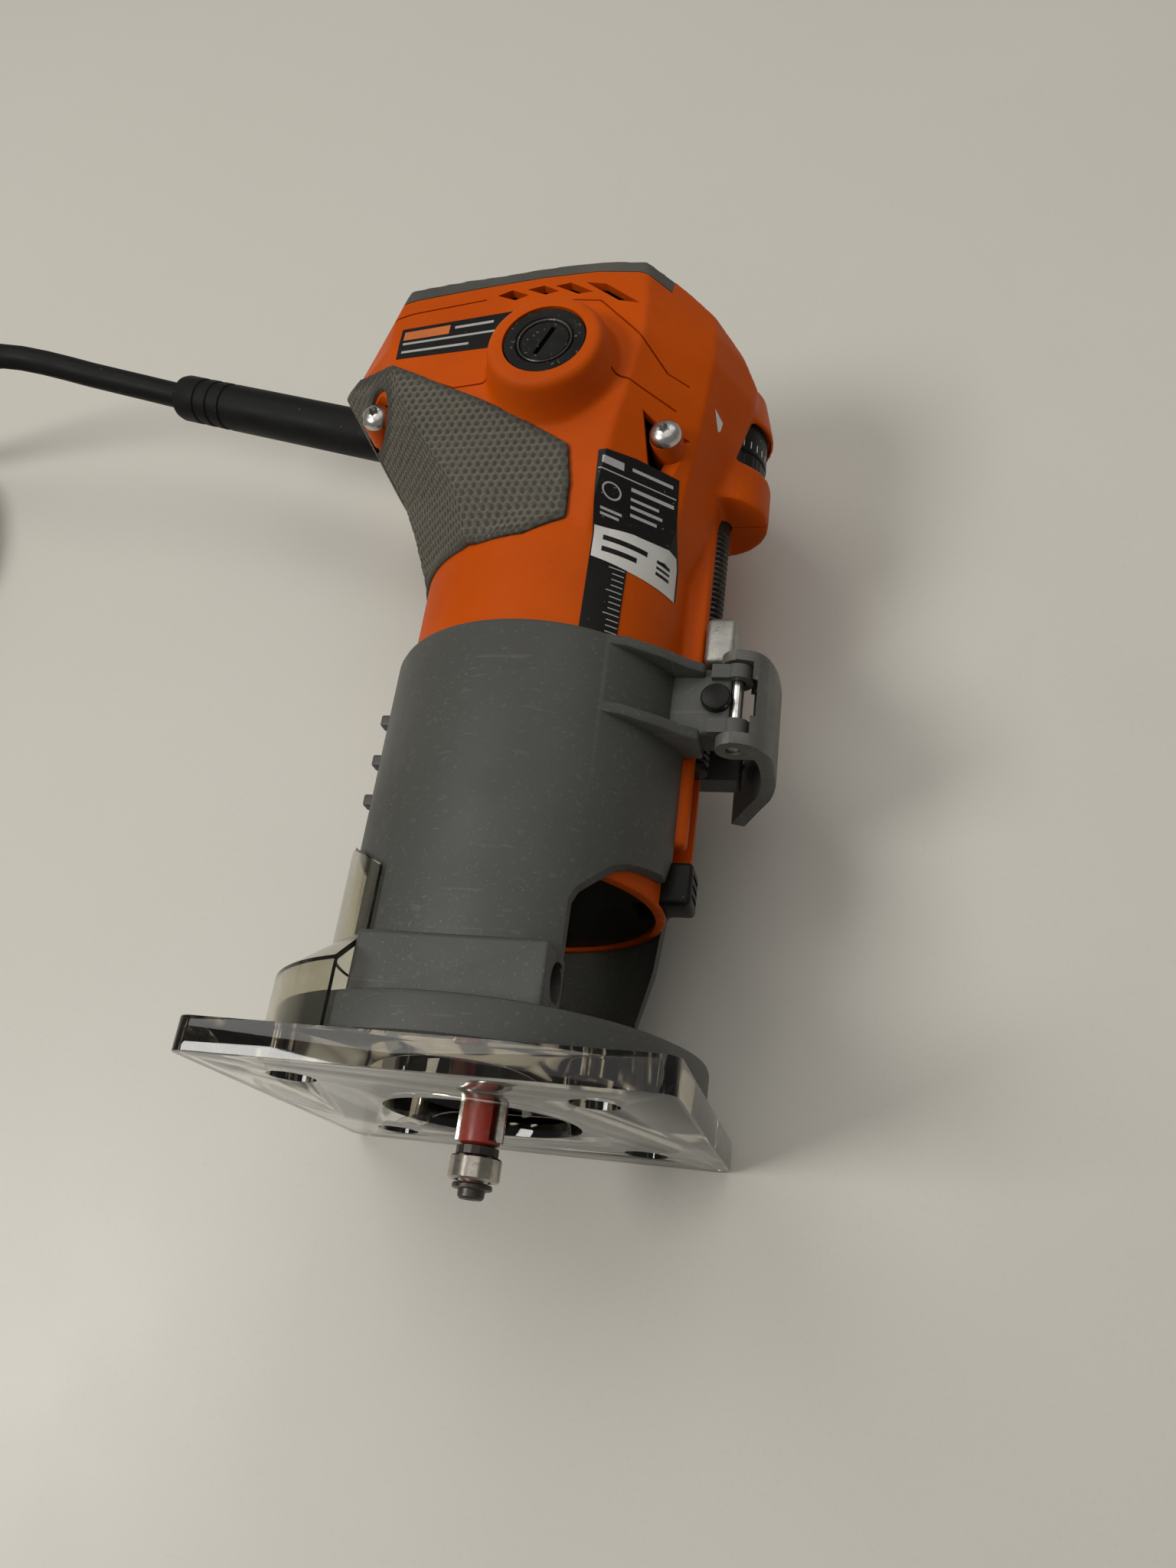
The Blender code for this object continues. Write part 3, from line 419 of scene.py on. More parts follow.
def smooth_route(points: Sequence[Point], per_step: int) -> list[Vector]:
    """Points on a smooth curve through a route's own points.

    Args:
        points: the route.
        per_step: points made for each of its steps.

    Returns:
        The finer route.
    """
    padded = [points[0], *points, points[-1]]
    route = []
    for i in range(1, len(padded) - 2):
        before, here, there, after = (Vector(p) for p in padded[i - 1:i + 3])
        for step in range(per_step):
            t = step / per_step
            route.append(0.5 * (2 * here + (there - before) * t
                                + (2 * before - 5 * here + 4 * there - after) * t ** 2
                                + (3 * here - before - 3 * there + after) * t ** 3))
    route.append(Vector(points[-1]))
    return route


# ---------------------------------------------------------------------------
# Finishes


def link(tree: Tree, kind: str, inputs: dict[str | int, object] | None = None,
         **props: object) -> Node:
    """Add a node, set its properties, and set or link its inputs.

    Args:
        tree: the node tree.
        kind: the node's type without its ShaderNode prefix.
        inputs: a value or an output socket for each named input.
        props: values for its properties.

    Returns:
        The node.
    """
    node = tree.nodes.new(kind if kind.startswith("NodeGroup") else "ShaderNode" + kind)
    for key, value in props.items():
        setattr(node, key, value)
    for key, value in (inputs or {}).items():
        if isinstance(value, Socket):
            tree.links.new(value, node.inputs[key])
        else:
            node.inputs[key].default_value = value
    return node


def shared(name: str, ins: Sequence[tuple[str, float]], out: tuple[str, str],
           build: Callable[[Tree, Node], Socket]) -> Tree:
    """Make a node group once, or return it.

    Args:
        name: the group's name.
        ins: its number inputs and their defaults; a Vector input comes first.
        out: name and type of its one output.
        build: makes its nodes and returns the socket that leaves it.

    Returns:
        The group.
    """
    tree = bpy.data.node_groups.get(name)
    if tree:
        return tree
    tree = bpy.data.node_groups.new(name, "ShaderNodeTree")
    tree.interface.new_socket("Vector", in_out="INPUT", socket_type="NodeSocketVector")
    for title, value in ins:
        tree.interface.new_socket(title, in_out="INPUT", socket_type="NodeSocketFloat").default_value = value
    tree.interface.new_socket(out[0], in_out="OUTPUT", socket_type=out[1])
    entry = link(tree, "NodeGroupInput")
    leave = link(tree, "NodeGroupOutput")
    tree.links.new(build(tree, entry), leave.inputs[0])
    return tree


def noise_of(tree: Tree, entry: Node, scale: object, detail: float, roughness: float = 0.5) -> Socket:
    """Noise at the group's place.

    Args:
        tree: the group's tree.
        entry: the group's input node.
        scale: its scale, as a number or a socket.
        detail: its octaves.
        roughness: share of the finer octaves.

    Returns:
        The noise, about 0.3 to 0.7.
    """
    return link(tree, "TexNoise", {"Vector": entry.outputs["Vector"], "Scale": scale, "Detail": detail,
                                   "Roughness": roughness}).outputs[0]


def ranged(tree: Tree, value: Socket, low: float, high: float, to_low: float = 0.0, to_high: float = 1.0) -> Socket:
    """A value moved from one range to another."""
    return link(tree, "MapRange", {"Value": value, "From Min": low, "From Max": high, "To Min": to_low,
                                   "To Max": to_high}).outputs[0]


def uneven_mask() -> Tree:
    """Group of soft blotches, from 0 to 1."""

    def build(tree: Tree, entry: Node) -> Socket:
        """Noise stretched to the full range."""
        return ranged(tree, noise_of(tree, entry, entry.outputs["Scale"], 6.0, 0.6), 0.36, 0.66)

    return shared("uneven_mask", [("Scale", 60.0)], ("Mask", "NodeSocketFloat"), build)


def speck_mask() -> Tree:
    """Group of small specks on a clear field, from 0 to 1."""

    def build(tree: Tree, entry: Node) -> Socket:
        """Keep the peaks of a fine noise, gathered into patches.

        Args:
            tree: the group's tree.
            entry: the group's input node.

        Returns:
            The mask.
        """
        fine = noise_of(tree, entry, entry.outputs["Scale"], 2.0)
        gather = ranged(tree, noise_of(tree, entry, 38.0, 3.0), 0.4, 0.7, 0.05, -0.02)
        least = link(tree, "Math", {0: entry.outputs["Least"], 1: gather}, operation="ADD")
        over = link(tree, "Math", {0: fine, 1: least.outputs[0]}, operation="SUBTRACT")
        return ranged(tree, over.outputs[0], 0.0, 0.03)

    return shared("speck_mask", [("Scale", 900.0), ("Least", 0.64)], ("Mask", "NodeSocketFloat"), build)


def scratch_mask() -> Tree:
    """Group of fine scratches in two directions, from 0 to 1."""

    def build(tree: Tree, entry: Node) -> Socket:
        """Keep thin bands of two stretched noises.

        Args:
            tree: the group's tree.
            entry: the group's input node.

        Returns:
            The mask.
        """
        bands = []
        for turn, stretch in ((0.5, (26.0, 900.0, 900.0)), (-0.9, (900.0, 900.0, 40.0))):
            lay = link(tree, "Mapping", {"Vector": entry.outputs["Vector"], "Rotation": (turn, turn, turn),
                                         "Scale": stretch})
            noise = link(tree, "TexNoise", {"Vector": lay.outputs[0], "Scale": 1.0, "Detail": 1.0})
            bands.append(ranged(tree, noise.outputs[0], 0.67, 0.72))
        return link(tree, "Math", {0: bands[0], 1: bands[1]}, operation="MAXIMUM").outputs[0]

    return shared("scratch_mask", [], ("Mask", "NodeSocketFloat"), build)


def grain_normal() -> Tree:
    """Group that gives the normal of a fine moulded or cast grain."""

    def build(tree: Tree, entry: Node) -> Socket:
        """Bump from one noise at the grain's size."""
        height = noise_of(tree, entry, entry.outputs["Scale"], 4.0, 0.55)
        return link(tree, "Bump", {"Height": height, "Strength": entry.outputs["Strength"],
                                   "Distance": 0.0002}).outputs[0]

    return shared("grain_normal", [("Scale", 1200.0), ("Strength", 0.2)], ("Normal", "NodeSocketVector"), build)


@dataclass(frozen=True)
class Finish:
    """A procedural surface: two tones, dust, specks, scratches, grain and gloss.

    The tone turns to the shade in blotches of the patch scale. Dust, specks and scratches take the dust colour,
    each by its share. Gloss holds the least and most roughness, and relief is the strength of the grain's bump.
    Ridge colours the mesh attribute of that name, lighter than the tone: partly dust on the raised ridges, partly a
    painted highlight along them that leaves painted shade in the hollows. Rings draws fine lines along the spindle.
    """

    name: str
    tone: Rgb
    shade: Rgb
    patch: float = 45.0
    dust: Rgb = (0.42, 0.37, 0.29)
    dust_share: float = 0.0
    speck_share: float = 0.0
    speck_least: float = 0.64
    speck_scale: float = 900.0
    scratch_share: float = 0.0
    gloss: tuple[float, float] = (0.4, 0.5)
    grain: float = 1200.0
    relief: float = 0.15
    shader: dict[str, float] = field(default_factory=dict, hash=False, compare=False)
    # ridge: colour of the raised ridges, partly dust and partly a painted highlight, with painted shade left in the
    # hollows
    ridge: Rgb | None = None
    rings: float = 0.0

    def mixed(self, tree: Tree, share: object, base: object, other: Rgb) -> Socket:
        """Mix a colour or socket toward another colour by a mask socket."""
        mix = link(tree, "Mix", {0: share, 6: base, 7: (*other, 1.0)}, data_type="RGBA")
        return mix.outputs[2]

    def scaled(self, tree: Tree, mask: Socket, share: float) -> Socket:
        """A mask times a share."""
        return link(tree, "Math", {0: mask, 1: share}, operation="MULTIPLY").outputs[0]

    def material(self) -> bpy.types.Material:
        """Make the material once, or return it.

        Returns:
            The material.
        """
        title = self.name + "_finish"
        known = bpy.data.materials.get(title)
        if known:
            return known
        mat = bpy.data.materials.new(title)
        mat.use_nodes = True
        tree = mat.node_tree
        shader = tree.nodes["Principled BSDF"]
        place = link(tree, "TexCoord").outputs["Object"]

        def group(maker: Callable[[], Tree], **inputs: float) -> Socket:
            """Use a shared group at this surface's place.

            Args:
                maker: makes or returns the group.
                inputs: values for its inputs.

            Returns:
                The group's output.
            """
            node = link(tree, "Group", node_tree=maker())
            tree.links.new(place, node.inputs["Vector"])
            for key, value in inputs.items():
                node.inputs[key].default_value = value
            return node.outputs[0]

        blotch = group(uneven_mask, Scale=self.patch)
        colour = self.mixed(tree, blotch, (*self.tone, 1.0), self.shade)
        # Dust and a painted highlight on the honeycomb's ridges, leaving painted shade in its hollows
        if self.ridge:
            line = link(tree, "Attribute", attribute_name="ridge", attribute_type="GEOMETRY")
            colour = self.mixed(tree, line.outputs["Fac"], colour, self.ridge)
        if self.rings:
            wave = link(tree, "TexWave", {"Vector": place, "Scale": self.rings, "Distortion": 0.4},
                        bands_direction="Y")
            colour = self.mixed(tree, self.scaled(tree, wave.outputs[1], 0.5), colour, self.shade)
        layers = ((self.dust_share, uneven_mask, {"Scale": self.patch * 0.37}),
                  (self.speck_share, speck_mask, {"Scale": self.speck_scale, "Least": self.speck_least}),
                  (self.scratch_share, scratch_mask, {}))
        for share, maker, inputs in layers:
            if share:
                colour = self.mixed(tree, self.scaled(tree, group(maker, **inputs), share), colour, self.dust)
        tree.links.new(colour, shader.inputs["Base Color"])
        tree.links.new(ranged(tree, blotch, 0.0, 1.0, *self.gloss), shader.inputs["Roughness"])
        if self.relief:
            tree.links.new(group(grain_normal, Scale=self.grain, Strength=self.relief), shader.inputs["Normal"])
        for key, value in self.shader.items():
            shader.inputs[key].default_value = value
        return mat


METAL = {"Metallic": 1.0}
ORANGE = Finish("orange_nylon", (0.54, 0.076, 0.0), (0.465, 0.062, 0.0), patch=28.0, dust=(0.10, 0.05, 0.02),
                dust_share=0.04, speck_share=0.22, speck_least=0.7, scratch_share=0.06, gloss=(0.40, 0.52),
                grain=1500.0, relief=0.12, shader={"Specular IOR Level": 0.08})
# The grip's ridge colour is partly dust and partly a painted highlight on the ridges, against painted shade in the
# hollows
GRIP = Finish("grip_rubber", (0.028, 0.026, 0.021), (0.021, 0.0195, 0.0165), patch=40.0, dust=(0.20, 0.18, 0.135),
              dust_share=0.13, speck_share=0.6, speck_least=0.66, speck_scale=1300.0, gloss=(0.62, 0.8), grain=1900.0,
              relief=0.25, shader={"Specular IOR Level": 0.3}, ridge=(0.135, 0.123, 0.093))
CAP = Finish("cap_rubber", (0.060, 0.056, 0.047), (0.042, 0.040, 0.035), patch=60.0, dust=(0.2, 0.18, 0.14),
             dust_share=0.18, speck_share=0.5, speck_least=0.66, speck_scale=1400.0, gloss=(0.6, 0.75), grain=1700.0,
             relief=0.35)
CASTING = Finish("cast_coat", (0.056, 0.057, 0.051), (0.046, 0.047, 0.042), patch=24.0, dust=(0.26, 0.25, 0.22),
                 dust_share=0.05, speck_share=0.22, speck_least=0.655, speck_scale=1500.0, scratch_share=0.10,
                 gloss=(0.44, 0.56), grain=1500.0, relief=0.16, shader={"Specular IOR Level": 0.4})
LEVER = Finish("lever_coat", (0.088, 0.086, 0.076), (0.070, 0.069, 0.061), patch=70.0, dust=(0.3, 0.28, 0.24),
               dust_share=0.08, speck_share=0.3, speck_least=0.65, speck_scale=1300.0, scratch_share=0.12,
               gloss=(0.40, 0.52), grain=1400.0, relief=0.2, shader={"Specular IOR Level": 0.6})
BLACK = Finish("black_plastic", (0.007, 0.007, 0.007), (0.011, 0.011, 0.010), patch=90.0, dust=(0.22, 0.2, 0.16),
               dust_share=0.03, speck_share=0.5, speck_least=0.67, gloss=(0.28, 0.42), grain=1600.0, relief=0.12,
               shader={"Specular IOR Level": 0.14})
CORD_BLACK = Finish("cord_rubber", (0.006, 0.006, 0.006), (0.009, 0.009, 0.008), patch=70.0, dust=(0.2, 0.19, 0.16),
                    dust_share=0.01, speck_share=0.25, speck_least=0.7, gloss=(0.45, 0.6), grain=1100.0,
                    relief=0.14, shader={"Specular IOR Level": 0.12})
BRIGHT = Finish("bright_steel", (0.62, 0.61, 0.58), (0.46, 0.45, 0.43), patch=160.0, dust=(0.2, 0.17, 0.13),
                dust_share=0.12, scratch_share=0.25, gloss=(0.22, 0.36), grain=900.0, relief=0.12, shader=METAL)
TAB_METAL = Finish("cast_metal", (0.40, 0.395, 0.36), (0.29, 0.285, 0.26), patch=130.0, dust=(0.12, 0.1, 0.08),
                   dust_share=0.15, speck_share=0.4, speck_least=0.63, scratch_share=0.2, gloss=(0.36, 0.5),
                   grain=1500.0, relief=0.3, shader={"Metallic": 0.85})
DARK = Finish("black_oxide", (0.030, 0.029, 0.027), (0.05, 0.046, 0.04), patch=180.0, dust=(0.25, 0.2, 0.14),
              dust_share=0.14, speck_share=0.5, speck_least=0.63, gloss=(0.32, 0.48), grain=1300.0, relief=0.2,
              shader={"Metallic": 0.6})
POLISHED = Finish("bearing_steel", (0.50, 0.47, 0.42), (0.34, 0.31, 0.27), patch=140.0, dust=(0.16, 0.10, 0.06),
                  dust_share=0.30, scratch_share=0.3, gloss=(0.14, 0.24), grain=700.0, relief=0.06, shader=METAL)
LAMINATED = Finish("laminated_steel", (0.36, 0.36, 0.37), (0.2, 0.2, 0.2), rings=300.0, gloss=(0.35, 0.5),
                   relief=0.1, shader={"Metallic": 0.8})
COPPER = Finish("copper_wire", (0.55, 0.22, 0.08), (0.4, 0.13, 0.05), rings=160.0, gloss=(0.22, 0.34), relief=0.2,
                shader={"Metallic": 0.7})
BARS = Finish("copper_bars", (0.62, 0.33, 0.17), (0.45, 0.2, 0.1), gloss=(0.25, 0.4), scratch_share=0.3,
              dust=(0.1, 0.06, 0.04), shader=METAL)
BRASS = Finish("plug_brass", (0.66, 0.49, 0.24), (0.5, 0.35, 0.15), gloss=(0.2, 0.32), scratch_share=0.2,
               dust=(0.2, 0.14, 0.07), shader=METAL)
RED = Finish("red_coating", (0.42, 0.014, 0.010), (0.28, 0.012, 0.010), patch=200.0, dust=(0.20, 0.10, 0.055),
             dust_share=0.55, speck_share=0.6, speck_least=0.6, gloss=(0.28, 0.45), grain=1100.0, relief=0.2,
             shader={"Coat Weight": 0.25, "Coat Roughness": 0.2})
CARBIDE = Finish("carbide", (0.34, 0.32, 0.29), (0.22, 0.2, 0.18), patch=250.0, gloss=(0.22, 0.35),
                 scratch_share=0.3, dust=(0.1, 0.07, 0.05), shader=METAL)
CARBON = Finish("carbon", (0.02, 0.02, 0.02), (0.03, 0.03, 0.03), gloss=(0.6, 0.7), relief=0.2)
BOARD = Finish("circuit_board", (0.015, 0.10, 0.035), (0.01, 0.07, 0.03), gloss=(0.3, 0.4), relief=0.05)
PLATE = Finish("clear_acrylic", (0.88, 0.865, 0.82), (0.80, 0.785, 0.73), patch=30.0, dust=(0.56, 0.52, 0.44),
               dust_share=0.05, speck_share=0.5, speck_least=0.68, scratch_share=0.3, gloss=(0.04, 0.15),
               relief=0.0, shader={"Transmission Weight": 1.0, "IOR": 1.45})
PLATE_EDGE = Finish("acrylic_edge", (0.52, 0.47, 0.37), (0.40, 0.355, 0.265), patch=60.0, dust=(0.30, 0.26, 0.19),
                    dust_share=0.10, speck_share=0.5, speck_least=0.66, scratch_share=0.4, gloss=(0.0, 0.06),
                    relief=0.0, shader={"Transmission Weight": 1.0, "IOR": 1.45})
SHIELD = Finish("clear_shield", (0.78, 0.765, 0.67), (0.69, 0.67, 0.56), patch=40.0, dust=(0.6, 0.56, 0.46),
                dust_share=0.08, speck_share=0.5, speck_least=0.66, scratch_share=0.3, gloss=(0.05, 0.14),
                grain=300.0, relief=0.03, shader={"Transmission Weight": 1.0, "IOR": 1.3})
LABEL_BLACK = Finish("label_black", (0.006, 0.006, 0.0065), (0.009, 0.009, 0.009), gloss=(0.26, 0.36), relief=0.05,
                     dust_share=0.02, speck_share=0.3, speck_least=0.7, shader={"Specular IOR Level": 0.12})
LABEL_WHITE = Finish("label_white", (0.66, 0.65, 0.62), (0.58, 0.57, 0.54), gloss=(0.35, 0.45), relief=0.05,
                     dust_share=0.08)
LABEL_GREY = Finish("label_grey", (0.40, 0.40, 0.39), (0.34, 0.34, 0.33), gloss=(0.35, 0.45), relief=0.05)
LABEL_ORANGE = Finish("label_orange", (0.62, 0.16, 0.02), (0.5, 0.12, 0.02), gloss=(0.35, 0.45), relief=0.05)
TABLE = Finish("table_top", (0.60, 0.575, 0.515), (0.575, 0.55, 0.49), patch=3.0, dust=(0.44, 0.42, 0.37),
               speck_share=0.10, speck_least=0.6, speck_scale=700.0, gloss=(0.38, 0.5), grain=900.0, relief=0.12,
               shader={"Specular IOR Level": 0.5})


def made(obj: Obj, name: str, finish: Finish, body: str, replaces: Sequence[str] = (),
         angle: float = 30.0) -> Obj:
    """Finish a piece: smooth it, dress it and put it on its body.

    Args:
        obj: the modelled piece.
        name: its name.
        finish: its surface.
        body: the body it rides on.
        replaces: CAD nodes it stands for.
        angle: sharpest angle that is shaded smooth.

    Returns:
        The piece.
    """
    if obj.type == "MESH":
        alone(obj)
        bpy.ops.object.shade_smooth_by_angle(angle=math.radians(angle))
    obj.name = name
    obj.data.name = name
    obj.data.materials.clear()
    obj.data.materials.append(finish.material())
    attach(obj, body)
    if replaces:
        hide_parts(*replaces)
    faces = len(obj.data.polygons) if obj.type == "MESH" else 0
    LOG.info("%s on %s, %d faces", name, body, faces)
    return obj


# ---------------------------------------------------------------------------
# Head of the motor housing, shared by the case, the grips and the cap

# Each section: its place along the spindle, then right x and height, facet x and height, front face's right x
# and height, front face's left x, left x and height.
HEAD_SECTIONS = (
    (126.0, 33.0, 8.0, 29.0, 19.0, 13.0, 32.0, -16.0, -32.0, 14.0),
    (140.0, 37.0, 10.0, 33.0, 22.0, 15.0, 36.5, -20.0, -36.5, 19.0),
    (150.0, 39.5, 11.0, 34.5, 23.5, 16.5, 38.0, -27.0, -41.0, 20.0),
    (160.0, 42.0, 12.0, 36.0, 25.0, 18.0, 39.5, -34.0, -47.0, 21.0),
    (170.0, 44.5, 12.5, 37.2, 26.5, 20.0, 40.2, -40.0, -54.0, 21.5),
    (186.0, 48.0, 12.0, 38.8, 28.0, 22.0, 40.5, -46.0, -65.0, 22.0),
    (196.0, 48.5, 11.5, 38.8, 27.5, 22.0, 40.0, -46.5, -63.0, 21.0),
    (206.0, 46.0, 11.0, 37.0, 26.5, 21.0, 39.0, -45.0, -60.0, 20.0),
    (218.0, 42.0, 10.0, 34.0, 25.0, 19.0, 37.0, -43.0, -56.0, 18.0),
)
END_OUTLINE = (
    (-65.0, 196.0), (-58.0, 204.0), (-46.0, 208.0), (-25.0, 211.5), (-8.0, 214.0),
    (8.0, 215.0), (20.0, 213.5), (30.0, 209.0), (38.0, 203.5), (44.0, 199.0), (49.5, 190.0),
)
BARREL_R = 35.5
BOSS_Y = 175.4
ADJUST_X = 39.2
SCREW_PLACES = ((29.4, 158.6, 35.5), (-50.8, 171.3, 32.5))
EXIT_START = (-60.0, 189.9, AXIS_Z)
EXIT_END = (-137.7, 212.0, AXIS_Z)
SWITCH_X, SWITCH_Y, SWITCH_HALF = -20.0, 206.0, 7.6
SPEED_X, SPEED_R = 10.0, 8.4
END_Y = 226.0
CLEARANCE = 0.8
CAP_BAND = ((-50.0, BOSS_Y), (-50.0, 220.0), (27.0, 220.0), (27.0, BOSS_Y))
PLATE_HOLES = tuple((x, AXIS_Z + z) for x in (-31.55, 31.55) for z in (-31.55, 31.55))
PLUG_DROP = 33.0
TURN_RISE = 1.5875


def head_ring(section: Sequence[float], offset: float) -> list[Point]:
    """Ten-sided ring of one head cross-section.

    Args:
        section: a row of HEAD_SECTIONS.
        offset: how far it is grown.

    Returns:
        The ring's points.
    """
    at, right, right_h, facet, facet_h, front_right, height, front_left, left, left_h = section
    half = [(right + offset, right_h), (facet + offset * 0.8, facet_h + offset * 0.6),
            (front_right + offset * 0.4, height + offset), (front_left - offset * 0.4, height + offset),
            (left - offset, left_h)]
    return [(x, at, AXIS_Z + h) for x, h in half + [(x, -h) for x, h in reversed(half)]]


def end_prism(inset: float = 0.0) -> Obj:
    """Solid of the head's outline in plan.

    Args:
        inset: how far the outline is pulled in.

    Returns:
        The new solid.
    """
    points = [(x * (1 - inset / 60.0), y - inset) for x, y in END_OUTLINE]
    outline = [(-90.0, 100.0), (-90.0, points[0][1]), *points, (90.0, points[-1][1]), (90.0, 100.0)]
    return prism(outline, AXIS_Z - REACH, AXIS_Z + REACH)


def head_skin(offset: float = 0.0) -> Obj:
    """Loft through all of the head's sections, grown by an offset."""
    return loft([head_ring(section, offset) for section in HEAD_SECTIONS])


def head_loft(offset: float = 0.0) -> Obj:
    """Head volume grown by an offset, with its domed end."""
    return keep(head_skin(offset), end_prism(-offset))


def over_surface(outline: Sequence[Flat], low: float, high: float, side: int = 1) -> Obj:
    """Sheet that follows the head's front or rear face.

    Args:
        outline: its shape in plan.
        low: its underside, over the head's surface.
        high: its face, over the head's surface.
        side: 1 for the front and -1 for the rear.

    Returns:
        The new sheet.
    """
    span = sorted((AXIS_Z + side * 20.0, AXIS_Z + side * REACH))
    return cut(keep(prism(outline, *span), head_skin(high)), head_skin(low))


def path_wall(points: Sequence[Flat], width: float, low: float, high: float) -> Obj:
    """Thin upright wall along a line in plan.

    Args:
        points: the line.
        width: the wall's thickness.
        low: its foot.
        high: its top.

    Returns:
        The new wall.
    """
    line = [Vector(point) for point in points]
    left, right = [], []
    for i, point in enumerate(line):
        way = (line[min(i + 1, len(line) - 1)] - line[max(i - 1, 0)]).normalized()
        off = Vector((-way.y, way.x)) * width / 2
        left.append(point + off)
        right.append(point - off)
    return prism([tuple(p) for p in left + right[::-1]], low, high)


def along_y(low: float, high: float, radius: float, x: float = 0.0, sides: int = ROUND,
            end_radius: float | None = None) -> Obj:
    """Cylinder or cone on a line parallel to the spindle."""
    return rod((x, low, AXIS_Z), (x, high, AXIS_Z), radius, sides, end_radius)


def end_openings() -> tuple[Obj, Obj]:
    """Square opening of the switch and round one of the speed dial, in the domed end.

    Returns:
        The two solids to cut away.
    """
    half, low = SWITCH_HALF + CLEARANCE, SWITCH_Y - CLEARANCE
    return (box((SWITCH_X - half, low, AXIS_Z - half), (SWITCH_X + half, END_Y, AXIS_Z + half)),
            along_y(low, END_Y, SPEED_R + 0.6, SPEED_X, 64))


@dataclass
class Case:
    """Orange clamshell with its grips, end cap, screws and labels."""

    wall: float = 2.4
    voxel: float = 0.75
    relax: int = 7
    boss_reach: float = 49.8
    seam: float = 0.15
    vents: tuple[tuple[Flat, ...], ...] = (
        ((-19.2, 202.7), (-15.4, 204.6), (-10.4, 202.1), (-14.0, 200.4)),
        ((-11.2, 204.4), (-6.8, 205.6), (-2.2, 202.9), (-5.9, 201.8)),
        ((-3.6, 205.1), (0.4, 206.0), (7.2, 201.7), (3.1, 201.2)),
        ((4.6, 205.7), (10.2, 204.5), (20.2, 195.9), (14.4, 197.5)))
    grooves: tuple[tuple[Flat, ...], ...] = (
        ((-43.1, 178.0), (-32.3, 172.9), (-25.6, 170.3), (-16.5, 171.4)),
        ((14.2, 172.2), (23.4, 169.5), (31.0, 167.6)),
        ((-0.3, 199.3), (9.7, 197.9), (28.4, 176.9), (33.5, 176.0)),
        ((-47.0, 195.5), (-42.0, 197.6), (-22.0, 201.3)))
    recess: tuple[Flat, ...] = (
        (23.6, 164.2), (27.2, 162.4), (34.4, 161.6), (34.2, 153.6), (31.6, 146.4), (29.6, 146.0), (25.6, 149.6))
    recess_floor: float = 26.5
    post_foot: float = 22.0
    seat_depth: float = 3.5
    label_end: float = 151.0
    cell_pitch: float = 2.2
    cell_depth: float = 0.42
    grip_outline: tuple[Flat, ...] = (
        (-72.0, 193.0), (-51.0, 182.0), (-12.0, 163.0), (7.0, 151.5), (8.5, 141.0),
        (8.0, 132.5), (-2.0, 127.5), (-12.0, 126.8), (-72.0, 126.8))

    def boss(self, side: int) -> Obj:
        """Raised round boss of the brush, with its foot faired into the head.

        Args:
            side: 1 for the front and -1 for the rear.

        Returns:
            The new solid.
        """
        profile = [(0.0, 20.0), (23.0, 20.0), (22.6, 34.0), (19.8, 37.0), (17.9, 39.6), (16.6, 42.6), (15.6, 46.0),
                   (14.9, 48.4), (14.2, 49.5), (13.2, self.boss_reach), (0.0, self.boss_reach)]
        return spun(profile, (0.0, BOSS_Y, AXIS_Z), (0.0, 0.0, float(side)), 72)

    def body(self) -> Obj:
        """Both halves as one solid, with soft moulded edges.

        Returns:
            The new solid.
        """
        solid = along_y(45.5, 150.0, BARREL_R)
        join(solid, head_loft(), self.boss(1), self.boss(-1),
             along_y(155.0, 167.5, 13.3, ADJUST_X, 64),
             along_y(182.7, 197.0, 13.3, ADJUST_X, 64, 10.3),
             box((27.5, 60.0, AXIS_Z - 7.7), (40.0, 156.0, AXIS_Z + 7.7), 0.8))
        return soften(solid, self.voxel, self.relax)

    def outside(self, depth: float) -> Obj:
        """Everything more than a depth outside the head's surface, near it."""
        shell = box((-80.0, 127.0, -20.0), (70.0, 217.0, 120.0))
        return cut(shell, head_skin(-depth))

    def cuts(self, solid: Obj, side: int) -> Obj:
        """Hollow one half and cut its wells, recesses, vents and panel lines.

        Args:
            solid: the half.
            side: 1 for the front and -1 for the rear.

        Returns:
            The half.
        """
        top = AXIS_Z + side * REACH
        cap_band = cut(prism(CAP_BAND, AXIS_Z - REACH, AXIS_Z + REACH), end_prism(5.0))
        cut(solid,
            along_y(44.0, 152.0, BARREL_R - 2.3),
            head_loft(-self.wall),
            cap_band,
            *end_openings(),
            along_y(165.2, 184.0, 12.4, ADJUST_X, 96),
            along_y(140.0, 190.0, 3.8, ADJUST_X, 32),
            box((35.2, 59.0, AXIS_Z - 4.0), (41.0, 156.0, AXIS_Z + 4.0)),
            rod((0.0, BOSS_Y, AXIS_Z + side * 30.0), (0.0, BOSS_Y, top), 10.7, 72),
            box((29.5, 46.5, AXIS_Z - 5.5), (45.5, 57.5, AXIS_Z + 5.5)),
            rod(EXIT_START, EXIT_END, 7.4, 48))
        for x, y, height in SCREW_PLACES:
            seat = AXIS_Z + side * (height - self.seat_depth)
            cut(solid, rod((x, y, seat), (x, y, top), 4.5), rod((x, y, AXIS_Z), (x, y, seat + side), 2.3, 24))
        cut(solid, prism(self.recess, *sorted((AXIS_Z + side * self.recess_floor, top))))
        low = AXIS_Z + side * self.post_foot
        for x, y, height in SCREW_PLACES:
            join(solid, rod((x, y, low), (x, y, AXIS_Z + side * (height - self.seat_depth + 0.1)), 4.1))
            cut(solid, rod((x, y, low - side), (x, y, AXIS_Z + side * height), 2.3, 24))
        for slot in self.vents:
            cut(solid, prism(slot, *sorted((AXIS_Z + side * 33.0, top))))
        for line in self.grooves:
            wall = path_wall(line, 0.55, *sorted((AXIS_Z + side * 18.0, AXIS_Z + side * 43.0)))
            cut(solid, keep(wall, self.outside(0.75)))
        return solid

